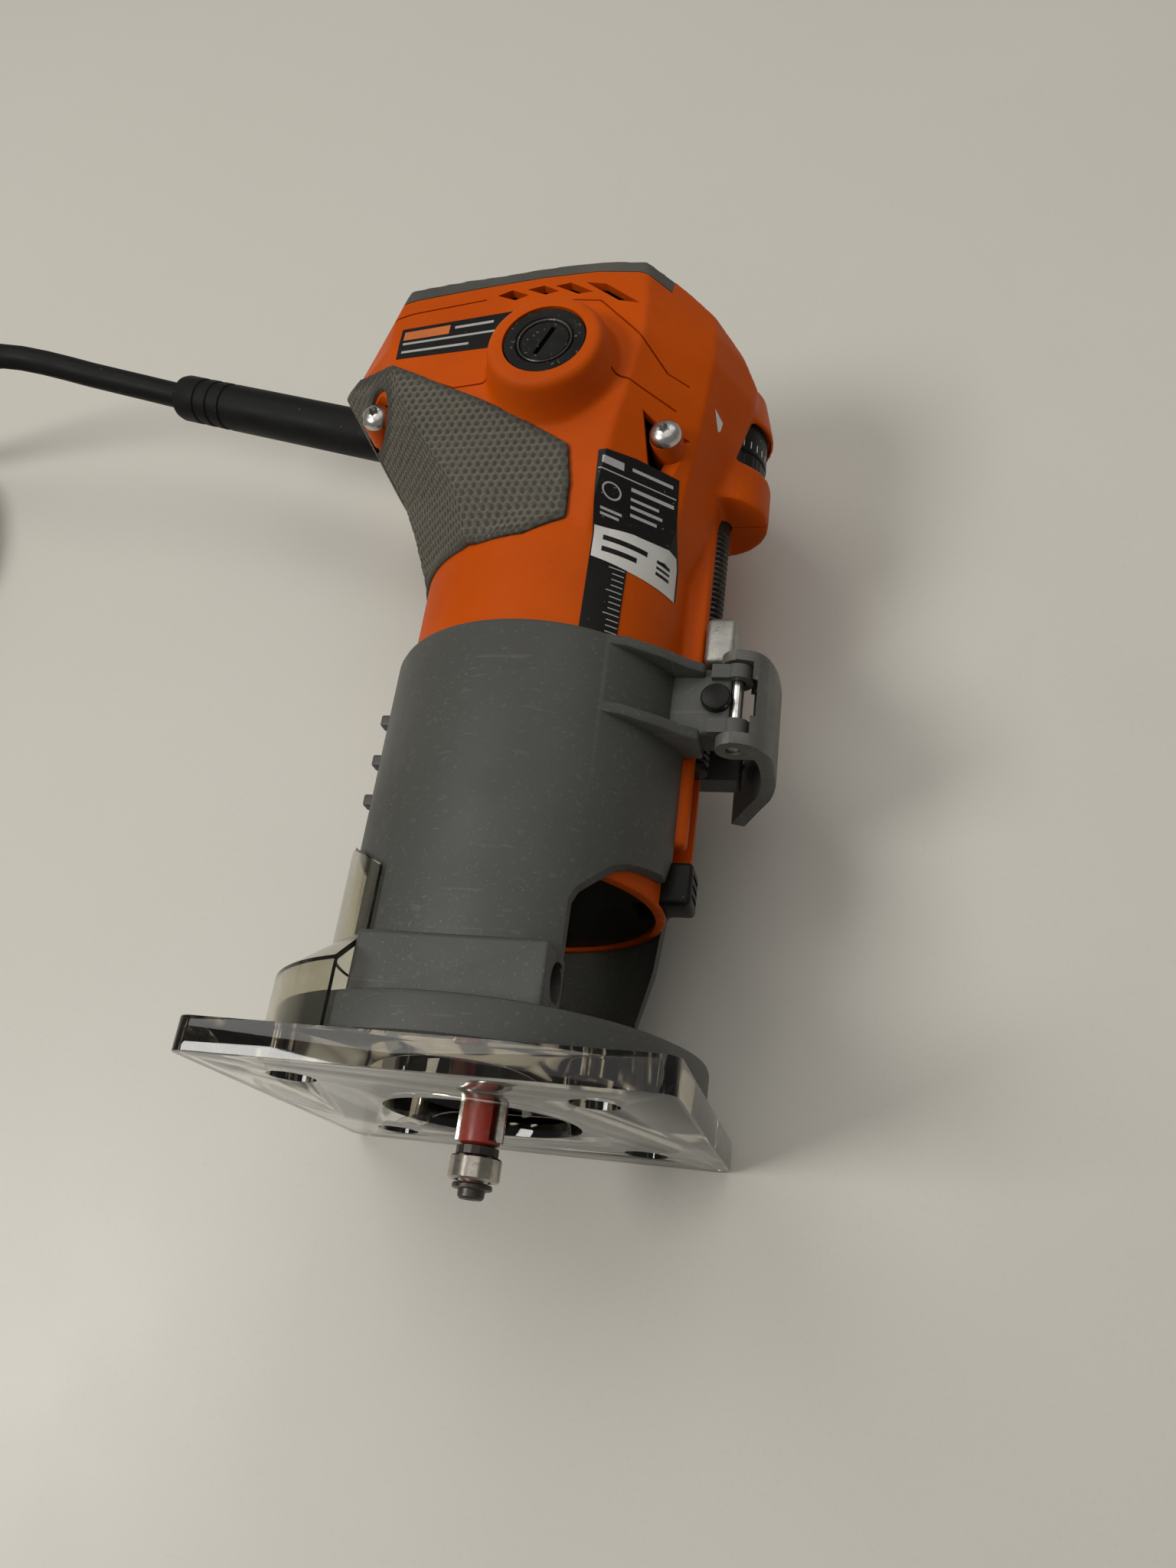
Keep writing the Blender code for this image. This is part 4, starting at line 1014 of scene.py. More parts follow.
    def halves(self) -> None:
        """Make both halves from one softened solid."""
        whole = self.body()
        for side, word in ((1, "front"), (-1, "rear")):
            half = whole.copy()
            half.data = whole.data.copy()
            bpy.context.scene.collection.objects.link(half)
            near = AXIS_Z + side * self.seam
            low, high = sorted((near, AXIS_Z + side * REACH))
            keep(half, box((-90.0, 0.0, low), (90.0, 260.0, high)))
            self.cuts(half, side)
            made(half, "case_" + word, ORANGE, "motor", ["housing_" + word], 32.0)
        bpy.data.objects.remove(whole)

    def grip(self, side: int) -> Obj:
        """Rubber skin with its mesh of small hollows.

        Args:
            side: 1 for the front and -1 for the rear.

        Returns:
            The finished skin.
        """
        low, high = sorted((AXIS_Z + side * self.seam, AXIS_Z + side * REACH))
        solid = join(head_loft(1.3), along_y(122.0, 152.0, BARREL_R + 0.9))
        keep(solid, prism(self.grip_outline, low, high))
        soften(solid, 0.42, 6)
        self.press_mesh(solid)
        cut(solid, head_loft(0.25), along_y(100.0, 152.0, BARREL_R + 0.15), rod(EXIT_START, EXIT_END, 7.3, 48))
        for x, y, _ in SCREW_PLACES:
            cut(solid, rod((x, y, AXIS_Z), (x, y, AXIS_Z + side * REACH), 5.2))
        # Mark where the ridges take their lighter colour: dust and a painted highlight, with painted shade in the
        # hollows
        self.mark_ridges(solid)
        word = "front" if side > 0 else "rear"
        return made(solid, "grip_skin_" + word, GRIP, "motor", ["grip_" + word], 50.0)

    def honeycomb(self, obj: Obj) -> tuple[np.ndarray, np.ndarray, np.ndarray, np.ndarray]:
        """Find where each vertex lies in a honeycomb.

        Args:
            obj: the skin.

        Returns:
            Its places in mm, its normals, 1 on a ridge down to 0 in a hollow, and 0 at the skin's edges up to 1.
        """
        mesh = obj.data
        count = len(mesh.vertices)
        co = np.empty(count * 3, np.float32)
        normal = np.empty(count * 3, np.float32)
        mesh.vertices.foreach_get("co", co)
        mesh.vertices.foreach_get("normal", normal)
        co = co.reshape(-1, 3) / MM
        normal = normal.reshape(-1, 3)
        u = co[:, 0] + np.abs(co[:, 2] - AXIS_Z)
        v = co[:, 1]
        pitch = self.cell_pitch
        row = pitch * math.sqrt(3) / 2
        nearest = np.full(count, 1e9)
        second = np.full(count, 1e9)
        base_row = np.floor(v / row)
        for step in range(-1, 3):
            line = base_row + step
            shift = np.where(line % 2 == 0, 0.0, pitch / 2)
            base = np.floor((u - shift) / pitch)
            for more in (0, 1):
                x = (base + more) * pitch + shift
                away = np.hypot(u - x, v - line * row)
                second = np.minimum(second, np.maximum(nearest, away))
                nearest = np.minimum(nearest, away)
        ridge = 1.0 - np.clip((second - nearest) / (pitch * 0.42), 0.0, 1.0)
        ridge = ridge * ridge * (3 - 2 * ridge)
        edge = np.full(count, 1e9)
        outline = np.array(self.grip_outline)
        for a, b in zip(outline, np.roll(outline, -1, axis=0)):
            t = np.clip(((co[:, :2] - a) @ (b - a)) / ((b - a) @ (b - a)), 0, 1)
            edge = np.minimum(edge, np.hypot(*(co[:, :2] - a - t[:, None] * (b - a)).T))
        fade = np.clip((edge - 1.2) / 1.6, 0.0, 1.0)
        for x, y, _ in SCREW_PLACES:
            fade = np.minimum(fade, np.clip((np.hypot(co[:, 0] - x, co[:, 1] - y) - 6.5) / 2.0, 0, 1))
        return co, normal, ridge, fade

    def press_mesh(self, obj: Obj) -> None:
        """Press the honeycomb's hollows into a skin.

        Args:
            obj: the softened skin.
        """
        co, normal, ridge, fade = self.honeycomb(obj)
        co -= normal * (self.cell_depth * (1.0 - ridge) * fade)[:, None]
        obj.data.vertices.foreach_set("co", (co * MM).astype(np.float32).ravel())
        obj.data.update()

    def mark_ridges(self, obj: Obj) -> None:
        """Write the honeycomb's ridges to an attribute, which the grip's finish colours lighter: partly dust, partly
        a painted highlight on the ridges against painted shade in the hollows.

        Args:
            obj: the finished skin.
        """
        ridge, fade = self.honeycomb(obj)[2:]
        # Strength of the ridges' dust and painted highlight, fading to 35 per cent near the skin's edges and the
        # screws
        mark = obj.data.attributes.new("ridge", "FLOAT", "POINT")
        mark.data.foreach_set("value", (ridge * (0.35 + 0.65 * fade)).astype(np.float32))

    def cap(self) -> Obj:
        """Rubber cap over the domed end.

        Returns:
            The finished cap.
        """
        solid = soften(head_loft(), 0.9, 6)
        keep(solid, prism(CAP_BAND, AXIS_Z - REACH, AXIS_Z + REACH))
        cut(solid, end_prism(4.7), *end_openings())
        for x in (-38.0, -32.0, 20.0):
            cut(solid, box((x - 0.5, 200.0, 0.0), (x + 0.5, 203.0, 100.0)))
        return made(solid, "end_cap_shell", CAP, "motor", ["end_cap"], 40.0)

    def screws(self) -> None:
        """Button heads with their star sockets."""
        for index, (x, y, height) in enumerate(SCREW_PLACES):
            head = [(0.0, 0.0), (1.4, -0.1), (2.6, -0.5), (3.5, -1.2), (3.95, -2.1), (4.0, -3.2), (2.0, -3.2),
                    (2.0, -25.0), (0.0, -25.0)]
            screw = spun(head, (x, y, AXIS_Z + height), (0.0, 0.0, 1.0), FINE)
            star = [(x + (1.75 if i % 2 else 1.2) * math.cos(math.pi * i / 6),
                     y + (1.75 if i % 2 else 1.2) * math.sin(math.pi * i / 6)) for i in range(12)]
            cut(screw, prism(star, AXIS_Z + height - 1.7, AXIS_Z + height + 2.0))
            made(screw, f"star_screw_{index + 1}", BRIGHT, "motor", [f"case_screw_{index + 1}"])

    def brushes(self) -> None:
        """Threaded caps of the brushes in their holders."""
        top = self.boss_reach - 0.4
        for side, word in ((1, "front"), (-1, "rear")):
            centre, toward = (0.0, BOSS_Y, AXIS_Z), (0.0, 0.0, float(side))
            holder = spun([(10.2, top), (10.4, top - 0.3), (10.4, top - 5.0), (8.0, top - 5.0), (8.0, 14.0),
                           (5.2, 14.0), (5.2, 41.0), (7.2, 41.0), (7.2, top - 0.6), (7.7, top)], centre, toward, 72)
            made(holder, "holder_" + word, BLACK, "motor", ["brush_holder_" + word])
            cap = spun([(0.0, 41.3), (6.3, 41.3), (6.3, top - 0.6), (6.0, top - 0.3), (0.0, top - 0.3)],
                       centre, toward, 64)
            slot = box((-0.65, BOSS_Y - 4.6, AXIS_Z + side * (top - 1.5) - 1.5),
                       (0.65, BOSS_Y + 4.6, AXIS_Z + side * (top - 1.5) + 1.5))
            slot.data.transform(about((0.0, BOSS_Y, 0.0), -24.0, "Z"))
            cut(cap, slot)
            made(cap, "slotted_cap_" + word, BLACK, "motor", ["brush_cap_" + word])
            rim = spun([(7.05, top - 3.0), (7.05, top - 0.1), (6.85, top + 0.05), (6.55, top - 0.1),
                        (6.4, top - 0.5), (6.4, top - 3.0)], centre, toward, 64)
            made(rim, "cap_rim_" + word, DARK, "motor")

    def on_case(self, outline: Sequence[Flat], low: float, high: float) -> Obj:
        """Sheet that follows the barrel and the head where they meet.

        Args:
            outline: its shape in plan.
            low: its underside, over the case.
            high: its face, over the case.

        Returns:
            The new sheet.
        """

        def grown(offset: float) -> Obj:
            """Barrel and head, grown by an offset."""
            return join(along_y(60.0, self.label_end, BARREL_R + offset, sides=192), head_skin(offset))

        return cut(keep(prism(outline, AXIS_Z + 5.0, AXIS_Z + 45.0), grown(high)), grown(low))

    def strip(self, x0: float, x1: float, y: float, thick: float, lift: float) -> Obj:
        """Thin bar across the label.

        Args:
            x0: its left end.
            x1: its right end.
            y: its middle line.
            thick: its width.
            lift: its face, over the case.

        Returns:
            The new bar.
        """
        half = thick / 2
        return self.on_case([(x0, y - half), (x1, y - half), (x1, y + half), (x0, y + half)], 0.1, lift)

    def labels(self) -> None:
        """Blank rating plate, depth scale and notice, with plain bars in place of words."""
        plate = self.on_case([(14.6, 150.1), (23.0, 151.0), (32.6, 150.4), (32.7, 122.0), (22.8, 122.8),
                              (22.6, 100.0), (14.6, 100.0)], -0.25, 0.16)
        made(plate, "rating_label", LABEL_BLACK, "motor")
        rows = ((147.6, 15.8, 20.6, 1.9), (147.9, 22.4, 31.4, 0.8), (145.2, 15.0, 32.2, 0.3),
                (143.0, 22.4, 31.8, 0.9), (140.6, 22.4, 28.6, 0.7), (138.8, 22.4, 29.4, 0.7),
                (137.0, 22.4, 28.2, 0.7), (136.0, 16.0, 20.6, 0.6), (134.8, 16.0, 20.0, 0.6))
        bars = [self.strip(x0, x1, y, thick, 0.21) for y, x0, x1, thick in rows]
        x, y, radius = 18.3, 140.6, 2.1
        ring = self.on_case(polygon(radius, 24, x, y), 0.1, 0.21)
        bars.append(cut(ring, prism(polygon(radius * 0.82, 24, x, y), AXIS_Z, AXIS_Z + 50.0)))
        for step in range(13):
            y = 102.4 + TURN_RISE * step
            bars.append(self.strip(20.0 - (0.9 if step % 4 == 0 else 0.0), 22.5, y, 0.26, 0.21))
        made(joined(bars), "rating_bars", LABEL_GREY, "motor")
        sticker = self.on_case([(14.9, 131.6), (23.5, 132.9), (32.4, 132.8), (32.5, 121.4), (23.5, 122.0),
                                (14.9, 123.2)], 0.05, 0.22)
        made(sticker, "rating_sticker", LABEL_WHITE, "motor")
        marks = [self.strip(x0, x1, y, thick, 0.27) for y, x0, x1, thick in
                 ((129.2, 17.0, 26.6, 1.4), (126.0, 17.0, 24.6, 1.4), (129.0, 28.6, 31.2, 0.9),
                  (127.3, 28.6, 31.2, 0.7), (125.6, 28.6, 31.2, 0.9))]
        made(joined(marks), "sticker_marks", LABEL_BLACK, "motor")
        pointer = over_surface([(39.4, 174.6), (42.0, 172.2), (40.2, 169.6)], -0.1, 0.12)
        made(pointer, "dial_pointer", LABEL_WHITE, "motor")
        notice = over_surface([(-43.6, 191.6), (-13.6, 195.9), (-15.6, 183.4), (-43.4, 181.0)], -0.25, 0.1)
        cut(notice, rod((0.0, BOSS_Y, 60.0), (0.0, BOSS_Y, 110.0), 17.4))
        made(notice, "notice_label", LABEL_BLACK, "motor")
        lines = []
        for x0, y0, x1, y1, thick in ((-28.8, 191.6, -18.4, 193.0, 0.9), (-42.4, 186.4, -17.6, 189.4, 0.75),
                                      (-42.3, 183.6, -24.0, 185.4, 0.75)):
            lines.append(over_surface([(x0, y0), (x1, y1), (x1, y1 - thick), (x0, y0 - thick)], -0.1, 0.14))
        made(joined(lines), "notice_bars", LABEL_GREY, "motor")
        panel = over_surface([(-42.6, 190.4), (-30.2, 192.2), (-30.2, 189.0), (-42.6, 187.4)], -0.1, 0.14)
        made(panel, "notice_panel", LABEL_ORANGE, "motor")

    def build(self) -> None:
        """Make the case with everything fixed to it."""
        self.halves()
        self.grip(1)
        self.grip(-1)
        self.cap()
        self.screws()
        self.brushes()
        self.labels()


@dataclass
class Adjuster:
    """Depth dial with its scale band and ribbed ring, and its threaded rod."""

    low: float = 165.5
    high: float = 183.7
    radius: float = 11.9
    band: float = 173.2
    ribs: int = 40
    ticks: int = 32

    def build(self) -> None:
        """Make the dial, its marks and the rod."""
        band, rim = self.band, ADJUST_X + self.radius
        dial = spun([(3.9, self.low), (self.radius - 0.9, self.low), (self.radius - 0.5, self.low + 0.4),
                     (self.radius - 0.5, band - 0.6), (self.radius - 0.9, band), (self.radius - 0.4, band + 0.5),
                     (self.radius - 0.4, self.high - 0.4), (self.radius - 0.8, self.high), (3.9, self.high)],
                    (ADJUST_X, 0.0, AXIS_Z), steps=96)
        groove = along_y(self.low - 1.0, band - 0.9, 0.75, rim + 0.15, 12)
        turns = [about((ADJUST_X, 0.0, AXIS_Z), 360.0 * i / self.ribs, "Y") for i in range(self.ribs)]
        cut(dial, copies(groove, turns))
        made(dial, "ribbed_dial", BLACK, "adjuster", ["depth_dial"])
        tick = box((rim - 0.8, band + 1.4, AXIS_Z - 0.12), (rim - 0.28, band + 3.6, AXIS_Z + 0.12))
        ticks = copies(tick, [about((ADJUST_X, 0.0, AXIS_Z), 360.0 * i / self.ticks, "Y") for i in range(self.ticks)])
        made(ticks, "dial_ticks", LABEL_WHITE, "adjuster")
        profile = [(0.0, 82.0), (3.3, 82.0)]
        y = 83.0
        while y < 150.0:
            profile += [(3.5, y), (3.5, y + TURN_RISE * 0.25), (2.75, y + TURN_RISE * 0.55),
                        (2.75, y + TURN_RISE * 0.7)]
            y += TURN_RISE
        profile += [(3.5, y), (3.5, 188.0), (3.0, 188.7), (0.0, 188.7)]
        screw = spun(profile, (ADJUST_X, 0.0, AXIS_Z), steps=FINE)
        made(screw, "threaded_rod", DARK, "adjuster", ["depth_rod"], 50.0)


@dataclass
class Base:
    """Casting with its windows and ears, and the clamp."""

    inner: float = 35.8
    outer: float = 38.4
    top: float = 102.3
    flange: float = 48.5
    flange_top: float = 12.4
    split: float = 8.0
    ear_x: float = 49.0
    pin_x: float = 50.0
    pin_z: float = 64.5
    bolt_x: float = 45.4
    bolt_y: float = 93.5
    lever_low: float = 81.0
    lever_high: float = 105.6
    lever_thick: float = 3.6
    lever_round: tuple[Flat, ...] = ((12.0, 86.0), (8.6, 81.6), (4.0, 80.0), (12.0, 80.0))
    outline: tuple[Flat, ...] = ((-0.5, 4.5), (5.0, 2.5), (8.4, -4.5), (9.0, -14.5), (7.5, -24.5), (3.5, -33.5),
                                 (-1.0, -43.5))

    def casting(self) -> Obj:
        """Sleeve, flange, ears and edge-guide block in one casting.

        Returns:
            The new solid.
        """
        foot = 3.75
        solid = spun([
            (0.0, self.top), (self.outer - 1.3, self.top), (self.outer - 0.4, self.top - 0.4),
            (self.outer, self.top - 1.5), (self.outer, self.flange_top + 3.4),
            (self.outer + 0.7, self.flange_top + 1.4), (self.outer + 2.0, self.flange_top + 0.3),
            (self.outer + 4.0, self.flange_top),
            (self.flange - 1.4, self.flange_top), (self.flange - 0.4, self.flange_top - 0.4),
            (self.flange, self.flange_top - 1.4), (self.flange, foot + 0.6), (self.flange - 0.6, foot), (0.0, foot)],
            steps=160)
        for y in (66.7, 77.4, 88.5):
            join(solid, box((-38.6, y - 1.5, AXIS_Z + 9.5), (-35.5, y + 1.5, AXIS_Z + 13.0), 0.5))
        for side in (1, -1):
            low, high = sorted((AXIS_Z + side * (self.split - 1.0), AXIS_Z + side * (self.split + 8.0)))
            join(solid, box((30.0, 84.3, low), (self.ear_x, self.top - 0.2, high), 1.1))
        for low, high in ((81.8, 84.6), (99.4, self.top - 0.3)):
            fin = prism([(18.0, AXIS_Z + 32.8), (26.0, AXIS_Z + 30.4), (34.0, AXIS_Z + 25.0), (39.0, AXIS_Z + 20.6),
                         (42.4, AXIS_Z + 18.6), (42.4, AXIS_Z + 8.4), (30.0, AXIS_Z + 8.4)], low, high, Along.Y)
            join(solid, bevel(fin, 0.5, 2))
        for low in (84.3, self.top - 3.6):
            join(solid,
                 box((self.ear_x - 5, low + 0.05, self.pin_z - 3.1), (self.pin_x, low + 3.65, self.pin_z + 3.1)),
                 self.on_pin(low + 0.05, low + 3.65, 3.6))
        cut(solid, spun([(0.0, self.top + 8), (self.inner, self.top + 8), (self.inner, self.flange_top - 1),
                         (23.1, self.flange_top - 1), (23.1, 0.0), (0.0, 0.0)], steps=160))
        join(solid, box((-20.6, self.flange_top - 2, AXIS_Z + 24.5), (20.6, 26.5, AXIS_Z + 39.2), 1.2))
        return self.windows(solid)

    def on_pin(self, low: float, high: float, radius: float, sides: int = FINE) -> Obj:
        """Cylinder on the lever pin's line."""
        return rod((self.pin_x, low, self.pin_z), (self.pin_x, high, self.pin_z), radius, sides)

    def windows(self, solid: Obj) -> Obj:
        """Cut the windows, the split and the holes.

        Args:
            solid: the casting.

        Returns:
            The casting.
        """
        sill = self.flange_top + 0.7
        front = ((21.0, sill), (21.0, 37.5), (22.0, 40.2), (28.0, 47.4), (30.5, 49.0), (36.3, 50.8), (37.4, 55.5),
                 (60.0, 55.5), (60.0, sill))
        rear = ((26.0, sill), (27.0, 26.0), (31.0, 37.5), (33.0, 50.8), (37.2, 55.2), (60.0, 55.2), (60.0, sill))
        left = ((-25.0, sill), (-25.0, 42.0), (-32.0, 50.0), (-60.0, 50.0), (-60.0, sill))
        cut(solid, prism(front, AXIS_Z - 16, AXIS_Z + REACH), prism(rear, AXIS_Z - REACH, AXIS_Z - 15),
            prism(left, AXIS_Z - REACH, AXIS_Z + REACH),
            box((25.0, 40.0, AXIS_Z - self.split), (self.ear_x + 12, self.top + 5, AXIS_Z + self.split)),
            rod((-21.6, 19.6, AXIS_Z + 31.2), (21.6, 19.6, AXIS_Z + 31.2), 4.3),
            rod((self.bolt_x, self.bolt_y, AXIS_Z - 40), (self.bolt_x, self.bolt_y, AXIS_Z + 40), 2.7, 32),
            self.on_pin(self.lever_low, self.lever_high, 1.8, 32))
        for x, z in PLATE_HOLES:
            cut(solid, rod((x, 2.0, z), (x, self.flange_top - 1, z), 2.3, 24))
        return solid

    def lever(self) -> Obj:
        """Lever that wraps from its pin round to the table side.

        Returns:
            The finished lever.
        """
        x, z = self.pin_x, self.pin_z
        outer = [Vector(p) for p in smooth_flat(self.outline, 4)]
        inner = []
        for i, point in enumerate(outer):
            along = outer[min(i + 1, len(outer) - 1)] - outer[max(i - 1, 0)]
            inner.append(point + Vector((along.y, -along.x)).normalized() * self.lever_thick)
        plate = prism([(x + p.x, z + p.y) for p in outer + inner[::-1]], self.lever_low, self.lever_high, Along.Y)
        join(plate, self.on_pin(self.lever_low, self.lever_high, 4.2),
             box((x, self.lever_low, z - 4.2), (x + 5, self.lever_high, z + 2.0)))
        middle = self.lever_low + self.lever_high
        cut(plate, prism([(x + across, y) for across, y in self.lever_round], 0.0, 90.0),
            prism([(x + across, middle - y) for across, y in self.lever_round], 0.0, 90.0))
        bevel(plate, 0.7, 3, 40.0)
        low, high = 84.0, 102.9
        cut(plate, self.on_pin(low, high, 5.0), self.on_pin(88.7, 98.3, 5.5),
            box((x - 10, low, z - 6), (x, high, z + 9)), self.on_pin(80.0, 107.0, 1.8, 32))
        return made(plate, "swing_lever", LEVER, "clamp_lever", ["clamp_lever"], 40.0)

    def tab(self) -> Obj:
        """Spring tab over the rod.

        Returns:
            The finished tab.
        """
        tab = box((43.5, 99.2, AXIS_Z - 6.5), (48.0, 120.0, AXIS_Z + 6.5), 0.7)
        join(tab, box((40.5, 107.0, AXIS_Z - 10.7), (48.0, 120.0, AXIS_Z + 10.7), 1.6))
        cut(tab, box((36.0, 98.0, AXIS_Z - 4.0), (43.2, 121.0, AXIS_Z + 4.0)))
        return made(tab, "spring_tab", TAB_METAL, "release_tab", ["release_tab"], 40.0)

    def bolt(self) -> Obj:
        """Clamp bolt with its domed head.

        Returns:
            The finished bolt.
        """
        face = AXIS_Z + self.split + 8.3
        bolt = spun([(0.0, 2.0), (2.9, 2.0), (3.2, 1.9), (3.5, 1.5), (3.5, 0.0), (2.4, 0.0), (2.4, -37.0),
                     (0.0, -37.0)], (self.bolt_x, self.bolt_y, face), (0.0, 0.0, 1.0), FINE)
        return made(bolt, "domed_bolt", BLACK, "base", ["clamp_bolt"])

    def build(self) -> None:
        """Make the casting and the clamp."""
        made(self.casting(), "sleeve_casting", CASTING, "base", ["base_casting"], 32.0)
        self.lever()
        self.tab()
        self.bolt()


def smooth_flat(points: Sequence[Flat], per_step: int) -> list[Flat]:
    """Smooth line through flat points."""
    return [(p.x, p.y) for p in smooth_route([(x, y, 0.0) for x, y in points], per_step)]


@dataclass
class Plate:
    """Clear guide plate and the chip shield."""

    side: float = 100.0
    half_thick: float = 3.45
    corner: float = 4.0

    def plate(self) -> Obj:
        """Square plate with its bore and countersunk holes, and the deeper tone of its sawn edges.

        Returns:
            The finished plate.
        """
        outline = []
        for x, z, first in ((1, 1, 0), (-1, 1, 90), (-1, -1, 180), (1, -1, 270)):
            for step in range(9):
                turn = math.radians(first + 11.25 * step)
                reach = self.side / 2 - self.corner
                outline.append((x * reach + self.corner * math.cos(turn),
                                AXIS_Z + z * reach + self.corner * math.sin(turn)))
        plate = prism(outline, -self.half_thick, self.half_thick, Along.Y)
        cut(plate, along_y(-8.0, 8.0, 22.1, sides=96))
        for x, z in PLATE_HOLES:
            cut(plate, rod((x, -8.0, z), (x, 0.55, z), 5.15, 48), rod((x, -8.0, z), (x, 8.0, z), 2.3, 32))
        bevel(plate, 0.35, 2, 50.0)
        made(plate, "clear_plate", PLATE, "base", ["guide_plate"])
        plate.data.materials.append(PLATE_EDGE.material())
        for face in plate.data.polygons:
            out = max(abs(face.center.x), abs(face.center.z - AXIS_Z))
            face.material_index = int(abs(face.normal.y) < 0.3 and out > self.side / 2 - 5.0)
        return plate

    def shield(self) -> Obj:
        """Curved clear shield that sits in the left window.

        Returns:
            The finished shield.
        """
        out = 38.7
        shell = spun([(out + 1.3, 50.0), (out + 1.3, 27.0), (50.4, 18.5), (50.4, 3.75), (49.0, 3.75), (49.0, 18.0),
                      (out, 26.5), (out, 50.0)], steps=144)
        keep(shell, prism(((-20.9, 0.0), (-20.9, 42.5), (-32.0, 49.5), (-33.0, 51.0), (-70.0, 51.0), (-70.0, 0.0)),
                          0.0, 100.0))
        return made(shell, "clear_chip_shield", SHIELD, "base", ["chip_shield"], 25.0)

    def build(self) -> None:
        """Make the clear parts."""
        self.plate()
        self.shield()


@dataclass
class Bit:
    """Flush-trim bit: coated body, carbide edges and its bearing."""

    low: float = -16.6
    high: float = -11.6
    top: float = 8.0

    def slab(self, side: int, across: Flat, along: Flat, low: float, high: float, rounding: float = 0.0) -> Obj:
        """Box on one side of the spindle.

        Args:
            side: 1 for the right and -1 for the left.
            across: its nearer and farther face from the spindle.
            along: where it starts and ends along the spindle.
            low: its underside, over the spindle.
            high: its top, over the spindle.
            rounding: width of its bevel.

        Returns:
            The new solid.
        """
        left, right = sorted((side * across[0], side * across[1]))
        return box((left, along[0], AXIS_Z + low), (right, along[1], AXIS_Z + high), rounding)

    def build(self) -> None:
        """Make the bit's pieces and the collet nut."""
        body = spun([(0.0, 31.0), (3.175, 31.0), (3.175, self.top + 1.5), (4.6, self.top), (4.6, self.high + 2.8),
                     (3.4, self.high + 2.3), (2.3, self.high + 2.3), (2.3, self.low - 0.3), (0.0, self.low - 0.3)],
                    steps=FINE)
        for side, word in ((1, "right"), (-1, "left")):
            near = side * 0.6
            cut(body, self.slab(side, (2.0, 6.0), (self.high + 3.4, self.top - 0.8),
                                *sorted((near, side * 3.4))))
            length = (self.high + 3.2, self.top - 0.5)
            join(body, self.slab(side, (1.0, 5.4), length, near - 0.9, near + 0.3))
            strip = self.slab(side, (3.2, 5.6), length, near + 0.3, near + 0.9, 0.1)
            made(strip, "carbide_" + word, CARBIDE, "spindle")
        made(body, "red_cutter", RED, "spindle", ["bit_body"])
        bearing = spun([(5.3, self.low), (5.7, self.low + 0.4), (5.7, self.high - 0.4), (5.3, self.high),
                        (4.6, self.high), (4.5, self.high - 0.35), (3.4, self.high - 0.35), (3.3, self.high),
                        (2.6, self.high), (2.6, self.low), (3.3, self.low), (3.4, self.low + 0.35),
                        (4.5, self.low + 0.35), (4.6, self.low)], steps=72)
        made(bearing, "guide_bearing", POLISHED, "bit_bearing", ["bit_bearing"], 25.0)
        screw = spun([(0.0, -17.2), (4.2, -17.2), (4.4, -17.5), (4.4, -18.2), (4.0, -18.4), (3.0, -18.4),
                      (2.9, -19.9), (2.4, -20.4), (0.0, -20.4)], steps=FINE)
        cut(screw, prism(polygon(1.3, 6), -21.0, -19.0, Along.Y))
        made(screw, "bearing_screw", DARK, "spindle", ["bit_screw"])
        nut = prism(polygon(9.9, 6), 18.0, 32.7, Along.Y)
        keep(nut, spun([(0.0, 32.7), (9.9, 32.7), (9.9, 20.2), (8.6, 18.0), (0.0, 18.0)], steps=72))
        cut(nut, along_y(17.0, 34.0, 6.3, sides=64))
        made(nut, "hex_nut", DARK, "spindle", ["collet_nut"], 25.0)


